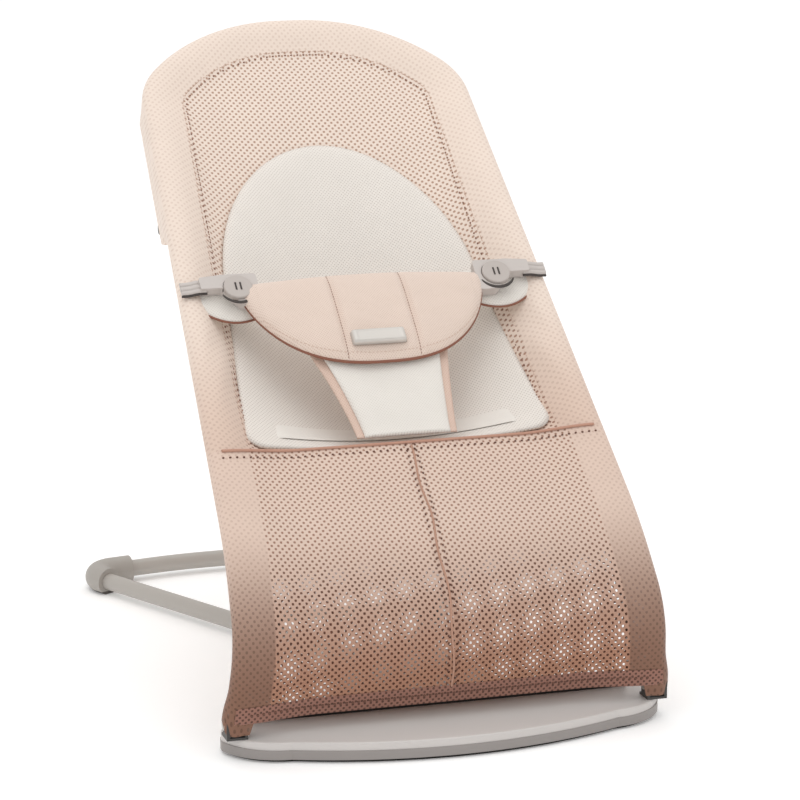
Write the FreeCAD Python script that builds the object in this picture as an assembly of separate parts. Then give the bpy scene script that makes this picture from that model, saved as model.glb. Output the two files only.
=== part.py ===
import FreeCAD, Part
import math
import os

# Bouncer seat: a half-moon front plate and a low tube base, a fabric seat on a tube loop that
# folds about a hinge behind the plate, a prop bow under the back, and a belt that opens forward.
# Millimetres, +Z up, the front faces -Y.  Every shape is built with Y = 0 on the seat's hinge line
# and is moved as it is written, so that the origin is the bottom centre of the whole seat.

V = FreeCAD.Vector

# ---------------------------------------------------------------- driving dimensions
# seat loop
HINGE_HALF = 185.5          # tube centre from the middle, at the hinge
HINGE_Z = 30.0              # hinge axis above the floor
TAPER = 0.082               # how far the sides close in per millimetre of height
BACK_ANGLE = 38.5           # slope of the seat's back from the floor
BACK_RISE = 83.0            # back's tube plane above the hinge axis, square to the back
SHIN_Y = -14.0              # corner of the shin curve
SHIN_Z = 100.0
SHIN_RADIUS = 60.0
KNEE_ALONG = 112.0          # second corner, measured up the back from the hinge
KNEE_RADIUS = 300.0
SEAM_ALONG = 213.0          # front edge of the seat pocket
TOP_ALONG = 715.0           # head end of the loop, at the tube's centre
CORNER_DROP = 70.0          # outer top corner below the head end
HEAD_SHARE = 0.545          # the head arc's corners, as a share of the outer corners' half-width
CORNER_RADIUS = 60.0
LOOP_R = 7.0                # seat tube, outer radius
LOOP_WALL = 1.5
JOINT_ALONG = 330.0         # where the lower tubes meet the upper loop
SPIGOT_LENGTH = 60.0

# front plate
PLATE_MARGIN = 8.5          # plate's side beyond the hinge tube's centre
PLATE_FRONT = 53.0          # plate's front edge before the hinge line
PLATE_REAR = 45.0
PLATE_SHOULDER = 28.0       # how far the front arc falls back at the shoulders
PLATE_CORNER = 50.0         # width of each rounded front corner
CORNER_STRETCH = 0.76       # length of that corner, as a share of its width
REAR_ROUND = 30.0           # radius of the plate's rear corners, less where it's inset
SOLE = 3.0                  # rubber under everything that stands on the floor
SHELL_TOP = 11.0
PLATE_TOP = SHELL_TOP + 7.0
TOP_INSET = 0.6             # groove between the shells
TOP_EDGE = 2.0              # rounded edge of the top shell
RAIL_Y = PLATE_REAR - 11.0  # dark rail across the plate, along its rear edge
RAIL_DEPTH = 7.0
RAIL_TOP = 31.0
SCREW_R = 1.8
SCREW_HEAD_R = 4.0
SCREW_HEAD = 3.0
PLATE_SCREWS = (0.32, 0.78) # screws, as shares of the plate's half-width

# hinge
PIN_R = 3.0
PIN_HEAD = 1.4
KNUCKLE_HALF = LOOP_R - 1.0
COLLAR = 14.0               # knuckle's collar up the tube, from the pin
STEM = 26.0                 # its stem inside the tube, past the collar
EAR = 2.5
EAR_MARGIN = 0.5            # ear's radius beyond the seat tube's

# base tubes
BASE_R = 8.0
BASE_WALL = 1.5
BASE_Z = SOLE + 1.0 + BASE_R    # tube centre above the floor, just clear of the sole
BASE_INNER = 26.0           # tube centre from the middle, inside the tongue
BASE_START = 70.0
BASE_BEND = 195.0
BASE_BEND_R = 90.0
REAR_Y = 533.0              # rear corners of the base
REAR_MARGIN = 16.0          # rear corner beyond the hinge tube's centre
REAR_BULGE = 17.0           # the cross tube bows rearward
REAR_BEND_SHARE = 0.5       # the cross tube's bends, as a share of the corner's half-width
REAR_BEND_R = 400.0
ELBOW_R = BASE_R + 5.0
ELBOW_REACH = 36.0          # along the side tube
ELBOW_CROSS = 46.0          # along the cross tube
ELBOW_BEND_R = 20.0
TUBE_ENTRY = 16.0           # how far each tube goes into an elbow
TONGUE_REAR = 200.0
TONGUE_TOP = BASE_Z + BASE_R + 4.0
TONGUE_HALF = 84.0          # at the plate; it tapers to the base tubes
TONGUE_MARGIN = 7.0         # beside the tubes at its rear end
TONGUE_LAP = 18.0           # how far it reaches under the plate

# prop bow and racks
BOW_R = 5.0
BOW_Y = 290.0
BOW_Z = BASE_Z + BASE_R + 3.0 + BOW_R   # the bow's foot turns above the base tube
BOW_BEND_R = 16.0
EYE_HALF = 5.5              # half the width of a bow bracket
BOW_SPLAY_AT = 190.0        # the arms splay outward from here
BOW_SPLAY_R = 120.0
BOW_SPLAY_PLAY = 6.0        # between the arms' tops and the racks
BOW_ALONG = 497.0           # first notch, measured up the back
NOTCH_PITCH = 50.0
NOTCH_COUNT = 3
NOTCH_R = 6.0
NOTCH_DEPTH = 5.0
RACK_HEIGHT = 14.0
RACK_HALF = 6.0
RACK_END = 18.0             # rack beyond its first and last notches
RIVET_R = 2.0
BOW_GAP = 1.0               # the bow's wire stands this far under the rack's teeth

# fabric
FABRIC = 3.0
BAND = 2.0                  # wall of the binding round the tube
# how deep the seat's middle sags, at distances past its front edge
SAG = ((0.0, 1.0), (25.0, 34.0), (75.0, 56.0), (150.0, 55.0), (280.0, 34.0), (400.0, 14.0), (510.0, 2.0))
INSERT = 8.0
INSERT_TOP = 578.0
INSERT_WAIST = 400.0
INSERT_SIDE = 42.0          # seat tube's centre to the insert, at its waist
INSERT_FOOT = 29.0          # the same at the seat's front edge
INSERT_LAP = 12.0           # the insert starts this far past the front edge
INSERT_CORNER = 18.0
HEM = 14.0
HEM_Z = 34.0

# restraint
BELT_LOW = 288.0
BELT_HIGH = 388.0
BELT = 12.0
BELT_END_OFF = 12.0         # belt above the tube plane at its ends
BELT_MID_OFF = 20.0
CROTCH = 6.0
CROTCH_LOW_HALF = 40.0
CROTCH_HIGH_HALF = 58.0
CROTCH_OFF = 3.3            # its foot above the tube plane
LABEL_HALF = 24.0
LABEL_LOW = 14.0            # label plate above the belt's lower edge
LABEL_HEIGHT = 12.0
BUCKLE_ALONG = 383.0
BUCKLE_LENGTH = 52.0
BUCKLE_HEIGHT = 34.0
BUTTON_R = 13.0
BUTTON_THICK = 4.0
BUTTON_TRAVEL = 2.5
BUTTON_EDGE = 1.2
STUD_R = 4.0

# clearances
FIT = 0.05                  # pin or tube in its bore, on the radius
GAP = 0.3                   # cloth beside a tube
PLAY = 0.5                  # moving piece beside a fixed one

# ---------------------------------------------------------------- frames of reference
SLOPE = math.radians(BACK_ANGLE)
UP_BACK = V(0, math.cos(SLOPE), math.sin(SLOPE))
OUT = V(0, -math.sin(SLOPE), math.cos(SLOPE))
HINGE = V(0, 0, HINGE_Z)
SIDES = (("left", -1), ("right", 1))
Y_MID = (REAR_Y + REAR_BULGE + BASE_R - PLATE_FRONT) / 2
SLEEVE_R = LOOP_R + GAP + BAND
PLATE_HALF = HINGE_HALF + PLATE_MARGIN


def on_seat(x, along, off=0.0):
    """A point on the seat's back: x across, along it from the hinge, off its tube plane."""
    return HINGE + V(x, 0, 0) + UP_BACK * along + OUT * (BACK_RISE + off)


def tube_half(z):
    """Half-width to the seat tube's centre at a height."""
    return HINGE_HALF - TAPER * (z - HINGE_Z)


def half_at(along):
    """The same, at a distance up the back."""
    return tube_half(on_seat(0, along).z)


# ---------------------------------------------------------------- shape helpers
def rounded(points, radii, closed=False):
    """Edges through the points, with an arc of the given radius at each inner corner."""
    count = len(points)
    corners = range(count) if closed else range(1, count - 1)
    cuts = {}
    for i in corners:
        here = points[i]
        into = (here - points[i - 1]).normalize()
        away = (points[(i + 1) % count] - here).normalize()
        turn = into.getAngle(away)
        radius = radii[i] if closed else radii[i - 1]
        if radius <= 0 or turn < 1e-6:
            continue
        reach = radius * math.tan(turn / 2)
        first = here - into * reach
        last = here + away * reach
        inward = (away - into).normalize()
        middle = here + inward * (radius / math.cos(turn / 2) - radius)
        cuts[i] = (first, middle, last)
    edges = []
    spans = count if closed else count - 1
    for i in range(spans):
        j = (i + 1) % count
        start = cuts[i][2] if i in cuts else points[i]
        end = cuts[j][0] if j in cuts else points[j]
        if start.distanceToPoint(end) > 1e-4:
            edges.append(Part.LineSegment(start, end).toShape())
        if j in cuts:
            edges.append(Part.Arc(*cuts[j]).toShape())
    return edges


def pipe(edges, radius, bore=0.0):
    """A round rod, or a tube, along the edges."""
    path = Part.Wire(edges)
    start = edges[0].valueAt(edges[0].FirstParameter)
    heading = edges[0].tangentAt(edges[0].FirstParameter)
    ring = Part.Wire([Part.Circle(start, heading, radius).toShape()])
    rod = path.makePipeShell([ring], True, False)
    if bore:
        inner = Part.Wire([Part.Circle(start, heading, bore).toShape()])
        rod = rod.cut(path.makePipeShell([inner], True, False))
    return rod


def prism(edges, travel):
    """A closed outline pushed along a vector."""
    return Part.Face(Part.Wire(edges)).extrude(travel)


def rod(start, end, radius):
    """A round bar from one point to another."""
    way = end - start
    return Part.makeCylinder(radius, way.Length, start, way)


def box(low, high):
    """An upright box between two corners."""
    size = high - low
    return Part.makeBox(size.x, size.y, size.z, low)


def seat_box(x0, x1, along0, along1, off0, off1):
    """A box lying in the seat's own directions."""
    corners = [on_seat(x0, along0, off0), on_seat(x1, along0, off0)]
    corners += [on_seat(x1, along1, off0), on_seat(x0, along1, off0)]
    return prism(rounded(corners, [0] * 4, True), OUT * (off1 - off0))


def offset_line(points, distance):
    """The same open outline in the YZ plane, moved sideways; a corner keeps its bisector."""
    moved = []
    for i, point in enumerate(points):
        ways = []
        if i > 0:
            ways.append((point - points[i - 1]).normalize())
        if i < len(points) - 1:
            ways.append((points[i + 1] - point).normalize())
        normals = [V(0, -way.z, way.y) for way in ways]
        middle = sum(normals, V(0, 0, 0)).normalize()
        moved.append(point + middle * (distance / middle.dot(normals[0])))
    return moved


def strip(points, radii, near, far):
    """A sheet seen edge on in the YZ plane, between two distances from the line."""
    outer = rounded(offset_line(points, far), [r - far for r in radii])
    inner = rounded(offset_line(points, near), [r - near for r in radii])
    start = Part.LineSegment(inner[0].valueAt(0), outer[0].valueAt(0)).toShape()
    end = Part.LineSegment(outer[-1].valueAt(outer[-1].LastParameter),
                           inner[-1].valueAt(inner[-1].LastParameter)).toShape()
    return Part.Wire(Part.__sortEdges__(outer + [end] + inner + [start]))


def save(name, shape):
    """Write one node, moved so that the origin is the bottom centre."""
    shape = shape.copy()
    shape.translate(V(0, -Y_MID, 0))
    solids = shape.Solids
    kept = solids[0] if len(solids) == 1 else Part.makeCompound(solids)
    assert solids and kept.isValid(), name
    kept.exportStep(os.path.join("parts", name + ".step"))


# ---------------------------------------------------------------- seat frame
def side_points(side):
    """Corners of one side of the seat loop, from the hinge to the knee."""
    line = [HINGE, V(0, SHIN_Y, SHIN_Z), on_seat(0, KNEE_ALONG)]
    return [V(side * tube_half(p.z), p.y, p.z) for p in line]


def lower_edges(side):
    """Centreline of a lower tube: from just above the knuckle to the joint with the loop."""
    hinge, shin, knee = side_points(side)
    start = hinge + (shin - hinge).normalize() * COLLAR
    end = on_seat(side * half_at(JOINT_ALONG), JOINT_ALONG)
    return rounded([start, shin, knee, end], [SHIN_RADIUS, KNEE_RADIUS])


def loop_plan(start, clear):
    """Plan of the loop from a distance up the back, moved inward by a clearance, with its radii."""
    corner = TOP_ALONG - CORNER_DROP
    outer = half_at(corner)
    inner = outer * HEAD_SHARE
    base = half_at(start)
    plan = [V(0, -base, start), V(0, -outer, corner), V(0, -inner, TOP_ALONG)]
    plan += [V(0, inner, TOP_ALONG), V(0, outer, corner), V(0, base, start)]
    flank, diagonal = plan[1] - plan[0], plan[2] - plan[1]
    corner_reach = CORNER_RADIUS * math.tan(flank.getAngle(diagonal) / 2)
    head_reach = min(0.9 * inner, diagonal.Length - corner_reach - 3)
    head = head_reach / math.tan(diagonal.getAngle(V(0, 1, 0)) / 2)
    radii = [r - clear for r in (CORNER_RADIUS, head, head, CORNER_RADIUS)]
    return offset_line(plan, -clear), radii


def upper_edges():
    """Centreline of the upper loop, from the left joint round the head to the right one."""
    plan, radii = loop_plan(JOINT_ALONG, 0)
    return rounded([on_seat(p.y, p.z) for p in plan], radii)


def seat_tubes():
    """Two lower tubes, the upper loop and the spigots that join them."""
    bore = LOOP_R - LOOP_WALL
    spigots = []
    for word, side in SIDES:
        edges = lower_edges(side)
        save("seat_tube_" + word, pipe(edges, LOOP_R, bore))
        end = edges[-1].valueAt(edges[-1].LastParameter)
        way = edges[-1].tangentAt(edges[-1].LastParameter) * (SPIGOT_LENGTH / 2)
        spigots.append(rod(end - way, end + way, bore - FIT))
    save("seat_tube_top", pipe(upper_edges(), LOOP_R, bore))
    save("frame_spigots", Part.makeCompound(spigots))


def knuckle(side):
    """Lug on the tube's lower end, bored for the hinge pin, with a stem up the tube."""
    hinge, shin = side_points(side)[:2]
    way = (shin - hinge).normalize()
    across = V(KNUCKLE_HALF, 0, 0)
    body = rod(hinge - across, hinge + across, LOOP_R + 1)
    body = body.fuse(rod(hinge, hinge + way * COLLAR, KNUCKLE_HALF - 1))
    body = body.fuse(rod(hinge, hinge + way * (COLLAR + STEM), LOOP_R - LOOP_WALL - FIT))
    return body.cut(rod(hinge - across * 2, hinge + across * 2, PIN_R + FIT)).removeSplitter()


# ---------------------------------------------------------------- front plate and hinge
def plate_outline(inset, z):
    """Half-moon outline: a shallow front arc, two round corners and a straight rear edge."""
    half = PLATE_HALF - inset
    front = -PLATE_FRONT + inset
    rear = PLATE_REAR - inset
    shoulder = V(half - PLATE_CORNER, front + PLATE_SHOULDER, z)
    side = V(half, front + PLATE_SHOULDER + PLATE_CORNER * CORNER_STRETCH, z)
    lean = 2 * math.atan2(PLATE_SHOULDER, half - PLATE_CORNER)
    chord = side - shoulder
    bulge = chord.Length / 2 * math.tan((math.pi / 2 - lean) / 4)
    middle = (side + shoulder) * 0.5 + V(chord.y, -chord.x, 0).normalize() * bulge
    flip = [V(-p.x, p.y, p.z) for p in (shoulder, middle, side)]
    turn = REAR_ROUND - 2 * inset
    rear_corners = rounded([side, V(half, rear, z), V(-half, rear, z), flip[2]], [turn] * 2)
    edges = [Part.Arc(flip[0], V(0, front, z), shoulder).toShape()]
    edges.append(Part.Arc(shoulder, middle, side).toShape())
    edges += rear_corners
    edges.append(Part.Arc(flip[2], flip[1], flip[0]).toShape())
    return edges


def tongue_outline(inset, z):
    """Tapered tongue behind the plate, which holds the base tubes."""
    wide = TONGUE_HALF - inset
    narrow = BASE_INNER + BASE_R + TONGUE_MARGIN - inset
    rear = TONGUE_REAR - inset
    start = PLATE_REAR - TONGUE_LAP + inset
    points = [V(-wide, start, z), V(wide, start, z), V(narrow, rear, z), V(-narrow, rear, z)]
    return rounded(points, [4, 4, 12, 12], True)


def base_edges(side):
    """Centreline of a base tube, from inside the tongue to the rear corner."""
    corner = V(side * (HINGE_HALF + REAR_MARGIN), REAR_Y, BASE_Z)
    start = V(side * BASE_INNER, BASE_START, BASE_Z)
    bend = V(side * BASE_INNER, BASE_BEND, BASE_Z)
    way = (corner - bend).normalize()
    end = corner - way * (ELBOW_REACH - TUBE_ENTRY)
    return rounded([start, bend, end], [BASE_BEND_R])


def side_way(side):
    """Direction from the rear corner back along the base tube."""
    corner = V(side * (HINGE_HALF + REAR_MARGIN), REAR_Y, BASE_Z)
    return (V(side * BASE_INNER, BASE_BEND, BASE_Z) - corner).normalize()


def cross_points():
    """Corners of the rear cross tube's line."""
    half = HINGE_HALF + REAR_MARGIN
    bend = half * REAR_BEND_SHARE
    middle = REAR_Y + REAR_BULGE
    left = [V(-half, REAR_Y, BASE_Z), V(-bend, middle, BASE_Z)]
    return left + [V(bend, middle, BASE_Z), V(half, REAR_Y, BASE_Z)]


def screw(foot, length):
    """Screw driven up from the sole's side."""
    head = rod(foot, foot + V(0, 0, SCREW_HEAD), SCREW_HEAD_R)
    return head.fuse(rod(foot, foot + V(0, 0, length), SCREW_R))


def plate():
    """Rubber sole, lower shell with the tongue, top shell, tube clamp and screws."""
    tubes = [pipe(base_edges(side), BASE_R + FIT) for side in (-1, 1)]
    sole = prism(plate_outline(4, 0), V(0, 0, SOLE))
    sole = sole.fuse(prism(tongue_outline(4, 0), V(0, 0, SOLE))).removeSplitter()
    rim = prism(plate_outline(0, SOLE), V(0, 0, SHELL_TOP - SOLE))
    lower = rim.fuse(prism(tongue_outline(0, SOLE), V(0, 0, BASE_Z - SOLE))).removeSplitter()
    clamp = prism(tongue_outline(1, BASE_Z), V(0, 0, TONGUE_TOP - BASE_Z))
    clamp = clamp.makeFillet(4, [e for e in clamp.Edges if abs(e.CenterOfMass.z - TONGUE_TOP) < 0.01])
    clamp = clamp.cut(box(V(-PLATE_HALF, -PLATE_FRONT, 0), V(PLATE_HALF, PLATE_REAR + GAP, TONGUE_TOP + 1)))
    top = prism(plate_outline(TOP_INSET, SHELL_TOP), V(0, 0, PLATE_TOP - SHELL_TOP))
    top = top.makeFillet(TOP_EDGE, [e for e in top.Edges if abs(e.CenterOfMass.z - PLATE_TOP) < 0.01])
    top = top.cut(prism(tongue_outline(-GAP, SOLE), V(0, 0, BASE_Z + GAP - SOLE)))
    screws = []
    for share in PLATE_SCREWS:
        for side in (-1, 1):
            screws.append(screw(V(side * PLATE_HALF * share, -PLATE_FRONT * 0.3, SOLE), SHELL_TOP))
    studs = [screw(V(0, y, SOLE), BASE_Z + 4) for y in (BASE_START + 20, TONGUE_REAR - 45)]
    held = Part.makeCompound(screws)
    clamped = Part.makeCompound(studs)
    for tube in tubes:
        lower = lower.cut(tube)
        clamp = clamp.cut(tube)
    save("plate_sole", sole)
    save("plate_lower_shell", lower.cut(held).cut(clamped))
    save("plate_top_shell", top.cut(held))
    save("tube_clamp_cover", clamp.cut(clamped))
    reach = HINGE_HALF - KNUCKLE_HALF - PLAY - EAR - 4
    rail = box(V(-reach, RAIL_Y, PLATE_TOP), V(reach, RAIL_Y + RAIL_DEPTH, RAIL_TOP))
    crest = [e for e in rail.Edges if abs(e.CenterOfMass.z - RAIL_TOP) < 0.01]
    save("hinge_rail", rail.makeFillet(2, crest))
    save("plate_screws", held)
    save("clamp_screws", clamped)


def hinge_bracket(side):
    """Two ears on the plate with a web in front, bored for the pin."""
    x = side * HINGE_HALF
    inner = KNUCKLE_HALF + PLAY
    ear_r = LOOP_R + EAR_MARGIN
    body = box(V(x - inner - EAR, -ear_r, PLATE_TOP), V(x + inner + EAR, ear_r + 4, PLATE_TOP + 2))
    for place in (x - inner - EAR, x + inner):
        ear = rod(V(place, 0, HINGE_Z), V(place + EAR, 0, HINGE_Z), ear_r)
        ear = ear.fuse(box(V(place, -ear_r, PLATE_TOP), V(place + EAR, ear_r, HINGE_Z)))
        body = body.fuse(ear)
    bore = rod(V(x - 20, 0, HINGE_Z), V(x + 20, 0, HINGE_Z), PIN_R + FIT)
    return body.cut(bore).removeSplitter()


def hinge_pin(side):
    """Plain pin with a low head at each end."""
    x = side * HINGE_HALF
    reach = KNUCKLE_HALF + PLAY + EAR
    body = rod(V(x - reach - 1, 0, HINGE_Z), V(x + reach + 1, 0, HINGE_Z), PIN_R)
    for way in (-1, 1):
        face = V(x + way * (reach + 0.1), 0, HINGE_Z)
        body = body.fuse(rod(face, face + V(way * PIN_HEAD, 0, 0), PIN_R + 1.5))
    return body.removeSplitter()


# ---------------------------------------------------------------- base tubes and elbows
def base_frame():
    """Side tubes, rear cross tube, the two elbows and their rubber feet."""
    line = cross_points()
    way = (line[1] - line[0]).normalize()
    inset = ELBOW_CROSS - TUBE_ENTRY
    across = [line[0] + way * inset, line[1], line[2], line[3] + V(-way.x, way.y, 0) * inset]
    cross = rounded(across, [REAR_BEND_R, REAR_BEND_R])
    save("rear_cross_tube", pipe(cross, BASE_R, BASE_R - BASE_WALL))
    for word, side in SIDES:
        save("base_tube_" + word, pipe(base_edges(side), BASE_R, BASE_R - BASE_WALL))
        corner = V(side * (HINGE_HALF + REAR_MARGIN), REAR_Y, BASE_Z)
        back = side_way(side)
        inward = V(-side * way.x, way.y, 0)
        mouth = corner + back * ELBOW_REACH
        wide = corner + inward * ELBOW_CROSS
        full = pipe(rounded([mouth, corner, wide], [ELBOW_BEND_R]), ELBOW_R)
        reach = 2 * ELBOW_REACH + 20
        low = corner - V(reach, reach, BASE_Z)
        body = full.cut(box(low - V(0, 0, 20), V(low.x, low.y, SOLE) + V(2 * reach, 2 * reach, 0)))
        body = body.cut(rod(mouth, mouth - back * TUBE_ENTRY, BASE_R + FIT))
        body = body.cut(rod(wide, wide - inward * TUBE_ENTRY, BASE_R + FIT))
        save("rear_elbow_" + word, body)
        slab = box(low, V(low.x, low.y, SOLE) + V(2 * reach, 2 * reach, 0))
        save("elbow_foot_" + word, full.common(slab))


# ---------------------------------------------------------------- prop bow
RACK_TIP = LOOP_R + FIT + RACK_HEIGHT
BOW_TIP = on_seat(0, BOW_ALONG, -(RACK_TIP + BOW_GAP + BOW_R))
BOW_FOOT = V(0, BOW_Y, BOW_Z)
ARM = BOW_TIP - BOW_FOOT
BRACKET_SHARE = (BOW_Y - BASE_BEND) / (REAR_Y - BASE_BEND)
BRACKET_X = BASE_INNER + (HINGE_HALF + REAR_MARGIN - BASE_INNER) * BRACKET_SHARE
BOW_HALF = BRACKET_X + EYE_HALF + BOW_BEND_R + PLAY
PIN_OUT = half_at(BOW_ALONG) + RACK_HALF


def bow():
    """U-shaped wire: it turns in the brackets, and its outturned ends stand in the racks."""
    way = V(ARM).normalize()
    length = ARM.Length
    elbow = PIN_OUT - 2 * RACK_HALF - NOTCH_PITCH * TAPER * NOTCH_COUNT - BOW_SPLAY_PLAY

    def place(x, up):
        return BOW_FOOT + V(x, 0, 0) + way * up

    line = [place(-PIN_OUT, length), place(-elbow, length), place(-BOW_HALF, BOW_SPLAY_AT)]
    line += [place(-BOW_HALF, 0), place(BOW_HALF, 0)]
    line += [place(BOW_HALF, BOW_SPLAY_AT), place(elbow, length), place(PIN_OUT, length)]
    half = [BOW_BEND_R - 2, BOW_SPLAY_R, BOW_BEND_R]
    radii = half + half[::-1]
    save("bow_wire", pipe(rounded(line, radii), BOW_R))
    caps = []
    for side in (-1, 1):
        tip = V(side * PIN_OUT, BOW_TIP.y, BOW_TIP.z)
        caps.append(rod(tip, tip + V(side * 2, 0, 0), BOW_R))
    save("bow_end_caps", Part.makeCompound(caps))


def bow_bracket(side):
    """Saddle round the base tube with an eye on top, in which the bow's foot turns."""
    centre = V(side * BRACKET_X, BOW_Y, BASE_Z)
    way = side_way(side) * 2 * EYE_HALF
    half = EYE_HALF
    saddle = rod(centre - way, centre + way, BASE_R + 2.5)
    eye = rod(V(centre.x - half, BOW_Y, BOW_Z), V(centre.x + half, BOW_Y, BOW_Z), BOW_R + 3)
    neck = box(V(centre.x - half, BOW_Y - BOW_R - 3, BASE_Z), V(centre.x + half, BOW_Y + BOW_R + 3, BOW_Z))
    body = saddle.fuse(neck).fuse(eye)
    body = body.cut(pipe(base_edges(side), BASE_R + FIT))
    bore = rod(V(centre.x - 20, BOW_Y, BOW_Z), V(centre.x + 20, BOW_Y, BOW_Z), BOW_R + FIT)
    return body.cut(bore).removeSplitter()


def rack(side):
    """Notched strip under the seat tube, with the rivets' holes, and its rivets."""
    low = BOW_ALONG - RACK_END
    high = BOW_ALONG + NOTCH_PITCH * (NOTCH_COUNT - 1) + RACK_END
    first = on_seat(side * half_at(low), low)
    last = on_seat(side * half_at(high), high)
    way = (last - first).normalize()
    across = way.cross(OUT).normalize() * RACK_HALF
    corners = [first - across, first + across, last + across, last - across]
    down = OUT * -RACK_TIP
    body = prism(rounded(corners, [0] * 4, True), down)
    body = body.cut(rod(first - way * 5, last + way * 5, LOOP_R + FIT))
    body = body.cut(prism(rounded([c + OUT * 0.1 for c in corners], [0] * 4, True), OUT * -LOOP_R * 0.6))
    notches = [BOW_ALONG + NOTCH_PITCH * i for i in range(NOTCH_COUNT)]
    for along in notches:
        centre = on_seat(0, along, -(RACK_TIP + NOTCH_R - NOTCH_DEPTH))
        body = body.cut(rod(centre + V(side * 100, 0, 0), centre + V(side * 220, 0, 0), NOTCH_R))
    rivets = []
    for along in (BOW_ALONG + NOTCH_PITCH / 2, BOW_ALONG + NOTCH_PITCH * 1.5):
        head = on_seat(side * half_at(along), along, -RACK_TIP)
        rivets.append(rod(head + OUT * (RACK_HEIGHT - 2), head, RIVET_R))
    return body, rivets


def racks():
    """Both racks and their four rivets."""
    rivets = []
    for word, side in SIDES:
        body, own = rack(side)
        for rivet in own:
            body = body.cut(rivet)
        rivets += own
        save("notch_rack_" + word, body.removeSplitter())
    save("rack_rivets", Part.makeCompound(rivets))


# ---------------------------------------------------------------- cover
def hammock(low, high):
    """Sagging sheet between two distances above the cloth's line, wider than the seat."""
    wide = HINGE_HALF + 10
    sections = []
    for past, sag in SAG:
        along = SEAM_ALONG + past * (TOP_ALONG - SEAM_ALONG + LOOP_R + 1) / SAG[-1][0]
        here = half_at(along)
        drop = sag * (wide / here) ** 2
        rise = drop - sag
        ring = []
        for level in (low, high):
            ends = [on_seat(s * wide, along, level + rise) for s in (-1, 1)]
            middle = on_seat(0, along, level - sag)
            ring.append((ends[0], middle, ends[1]))
        edges = [Part.Arc(*ring[0]).toShape(), Part.LineSegment(ring[0][2], ring[1][2]).toShape()]
        edges += [Part.Arc(ring[1][2], ring[1][1], ring[1][0]).toShape()]
        edges += [Part.LineSegment(ring[1][0], ring[0][0]).toShape()]
        sections.append(Part.Wire(edges))
    return Part.makeLoft(sections, True, False)


def inside_loop(clear):
    """A deep prism, square to the back, inside the loop by a clearance."""
    plan, radii = loop_plan(SEAM_ALONG - 1, clear)
    points = [on_seat(p.y, p.z, -150) for p in plan]
    return prism(rounded(points, [0] + radii + [0], True), OUT * 300)


def egg():
    """Outline of the padded insert, as a deep prism."""
    deep = -120
    half = half_at(INSERT_WAIST) - INSERT_SIDE
    foot = half_at(SEAM_ALONG) - INSERT_FOOT
    low = SEAM_ALONG + INSERT_LAP
    crown = on_seat(0, INSERT_TOP, deep)
    left, right = [on_seat(side * half, INSERT_WAIST, deep) for side in (-1, 1)]
    oval = Part.Ellipse(crown, right, on_seat(0, INSERT_WAIST, deep))
    across, top = [oval.parameter(p) for p in (left, crown)]
    start = across if (top - across) % (2 * math.pi) < math.pi else oval.parameter(right)
    curve = Part.Edge(oval, start, start + math.pi)
    ends = [curve.valueAt(start), curve.valueAt(start + math.pi)]
    sign = math.copysign(1, ends[1].x)
    line = [ends[1], on_seat(sign * foot, low, deep), on_seat(-sign * foot, low, deep), ends[0]]
    return prism([curve] + rounded(line, [INSERT_CORNER] * 2), OUT * 260)


def leg_line():
    """Side view of the leg panel, from its hem up to the seat's front edge."""
    shin = V(0, SHIN_Y, SHIN_Z)
    foot = HINGE + (shin - HINGE) * ((HEM_Z - HINGE_Z) / (SHIN_Z - HINGE_Z))
    return [foot, shin, on_seat(0, KNEE_ALONG), on_seat(0, SEAM_ALONG - 5)]


def between_tubes(clear):
    """Upright prism between the lower tubes, closing in with height as they do."""
    low, high = HINGE_Z - 30, on_seat(0, SEAM_ALONG + 40).z
    reach = [tube_half(z) - clear for z in (low, high)]
    points = [V(-reach[0], -200, low), V(reach[0], -200, low), V(reach[1], -200, high)]
    points.append(V(-reach[1], -200, high))
    return prism(rounded(points, [0] * 4, True), V(0, 600, 0))


def sheet(points, near, far, limit):
    """A sheet across the seat with the given side view, kept inside a prism."""
    wire = strip(points, [SHIN_RADIUS, KNEE_RADIUS][:len(points) - 2], near, far)
    wire.translate(V(-PLATE_HALF, 0, 0))
    return Part.Face(wire).extrude(V(2 * PLATE_HALF, 0, 0)).common(limit)


def cover():
    """Back and seat cloth, leg panel, hem, seam tape, front webbing, bindings and insert."""
    clear = LOOP_R + GAP + BAND + GAP
    loop = inside_loop(clear)
    save("cover_back", hammock(-FABRIC / 2, FABRIC / 2).common(loop))
    save("insert_pad", hammock(FABRIC / 2 + 0.1, FABRIC / 2 + INSERT).common(egg()))
    limit = between_tubes(clear)
    line = leg_line()
    way = (line[1] - line[0]).normalize()
    hem_top = line[0] + way * HEM
    half = FABRIC / 2
    save("leg_panel", sheet([hem_top] + line[1:], -half, half, limit))
    hem_limit = between_tubes(clear + PIN_HEAD)
    save("hem_band", sheet([line[0], hem_top], -half - 0.5, half + 0.5, hem_limit))
    tape = box(V(-3, -200, 0), V(3, 400, 400))
    save("seam_tape", sheet([hem_top] + line[1:], -half - 0.8, -half, limit).common(tape))
    web_half = half_at(SEAM_ALONG) - clear
    save("front_webbing", seat_box(-web_half, web_half, SEAM_ALONG - 5, SEAM_ALONG - 1, -4, 2))
    band = pipe(upper_edges(), SLEEVE_R, LOOP_R + GAP)
    for side in (-1, 1):
        x = side * half_at(BOW_ALONG + NOTCH_PITCH)
        reach = RACK_HALF + 6
        low = BOW_ALONG - RACK_END - PLAY
        high = BOW_ALONG + NOTCH_PITCH * (NOTCH_COUNT - 1) + RACK_END + PLAY
        band = band.cut(seat_box(x - reach - 8, x + reach + 8, low, high, -30, -LOOP_R * 0.6 + PLAY))
    save("rim_band", band)
    for word, side in SIDES:
        save("leg_band_" + word, pipe(lower_edges(side), SLEEVE_R, LOOP_R + GAP))


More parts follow.
